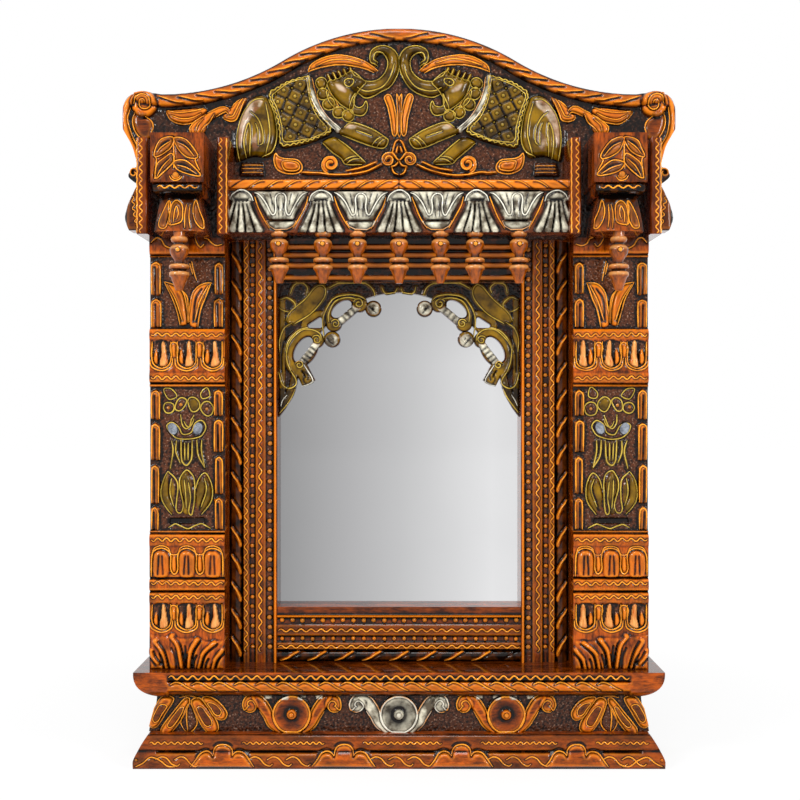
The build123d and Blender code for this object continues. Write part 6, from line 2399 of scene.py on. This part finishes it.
def seen_share(tree):
    """A socket that is 1 for rays of cameras, reflections and glass, and 0 for other rays."""
    rays = tree.nodes.new("ShaderNodeLightPath")
    share = rays.outputs["Is Camera Ray"]
    for kind in ("Is Glossy Ray", "Is Transmission Ray"):
        either = tree.nodes.new("ShaderNodeMath")
        either.operation = "MAXIMUM"
        tree.links.new(share, either.inputs[0])
        tree.links.new(rays.outputs[kind], either.inputs[1])
        share = either.outputs["Value"]
    return share


def mix_surfaces(tree, share, first, second, output):
    """Joins two shaders to an output, mixed by a share."""
    mixer = tree.nodes.new("ShaderNodeMixShader")
    tree.links.new(share, mixer.inputs["Fac"])
    tree.links.new(first, mixer.inputs[1])
    tree.links.new(second, mixer.inputs[2])
    tree.links.new(mixer.outputs["Shader"], output.inputs["Surface"])


def studio_white(name, colour, kept_shadow, near):
    """A pale surface that cameras and reflections see as white, with some of its shadow kept near
    the mirror."""
    material = bpy.data.materials.new(name)
    material.use_nodes = True
    tree = material.node_tree
    tree.nodes.clear()
    output = tree.nodes.new("ShaderNodeOutputMaterial")
    matt = tree.nodes.new("ShaderNodeBsdfDiffuse")
    matt.inputs["Color"].default_value = colour
    glow = tree.nodes.new("ShaderNodeEmission")
    glow.inputs["Color"].default_value = (1, 1, 1, 1)
    glow.inputs["Strength"].default_value = 1.04
    place = tree.nodes.new("ShaderNodeTexCoord")
    reach = tree.nodes.new("ShaderNodeVectorMath")
    reach.operation = "LENGTH"
    fade = tree.nodes.new("ShaderNodeMapRange")
    fade.inputs["From Max"].default_value = near
    fade.inputs["To Min"].default_value = 1 - kept_shadow
    share = tree.nodes.new("ShaderNodeMath")
    share.operation = "MULTIPLY"
    tree.links.new(place.outputs["Object"], reach.inputs[0])
    tree.links.new(reach.outputs["Value"], fade.inputs["Value"])
    tree.links.new(seen_share(tree), share.inputs[0])
    tree.links.new(fade.outputs["Result"], share.inputs[1])
    mix_surfaces(tree, share.outputs["Value"], matt.outputs["BSDF"], glow.outputs["Emission"], output)
    return material


def lay_floor():
    """A wide pale floor just under the plinth."""
    bm = bmesh.new()
    bmesh.ops.create_grid(bm, x_segments=1, y_segments=1, size=6.0)
    mesh = bpy.data.meshes.new("floor")
    bm.to_mesh(mesh)
    bm.free()
    floor = bpy.data.objects.new("floor", mesh)
    mesh.materials.append(studio_white("pale_floor", (0.92, 0.92, 0.92, 1), 0.24, 0.7))
    bpy.context.scene.collection.objects.link(floor)


def light_world(strength):
    """Even light from all round, which cameras and reflections see as white."""
    world = bpy.data.worlds.new("studio")
    bpy.context.scene.world = world
    world.use_nodes = True
    tree = world.node_tree
    tree.nodes.clear()
    output = tree.nodes.new("ShaderNodeOutputWorld")
    lights = []
    for brightness in (strength, 1.0):
        light = tree.nodes.new("ShaderNodeBackground")
        light.inputs["Color"].default_value = (1, 1, 1, 1)
        light.inputs["Strength"].default_value = brightness
        lights.append(light.outputs["Background"])
    mix_surfaces(tree, seen_share(tree), *lights, output)


def soft_lamp(name, place, target, size, power):
    """A square studio lamp that faces the mirror."""
    lamp = bpy.data.lights.new(name, "AREA")
    lamp.size = size
    lamp.energy = power
    holder = bpy.data.objects.new(name, lamp)
    holder.location = place
    aim = Vector(target) - Vector(place)
    holder.rotation_euler = aim.to_track_quat("-Z", "Y").to_euler()
    bpy.context.scene.collection.objects.link(holder)


# Each lamp's name, place, aim, size and power, in metres and watts
lamps = (
    ("key", (-0.85, -0.95, 0.85), (0, 0, 0.32), 0.32, 10),
    ("fill", (0.95, -0.9, 0.65), (0, 0, 0.3), 0.32, 7.5),
    ("top", (0.0, -0.75, 1.35), (0, 0, 0.3), 0.4, 6),
)
world_strength = 0.3
camera_aside = 0.0008

lay_floor()
light_world(world_strength)
for lamp_settings in lamps:
    soft_lamp(*lamp_settings)

camera_data = bpy.data.cameras.new("camera")
camera_data.sensor_width = 36.0
camera_data.lens = lens_pixels * camera_data.sensor_width / photo_pixels
camera_data.clip_start = 0.01
camera = bpy.data.objects.new("camera", camera_data)
camera.location = (camera_aside, -eye_distance * mm, eye_height * mm)
camera.rotation_euler = (pi / 2, 0, 0)
bpy.context.scene.collection.objects.link(camera)
bpy.context.scene.camera = camera
bpy.context.scene.view_settings.view_transform = "Standard"
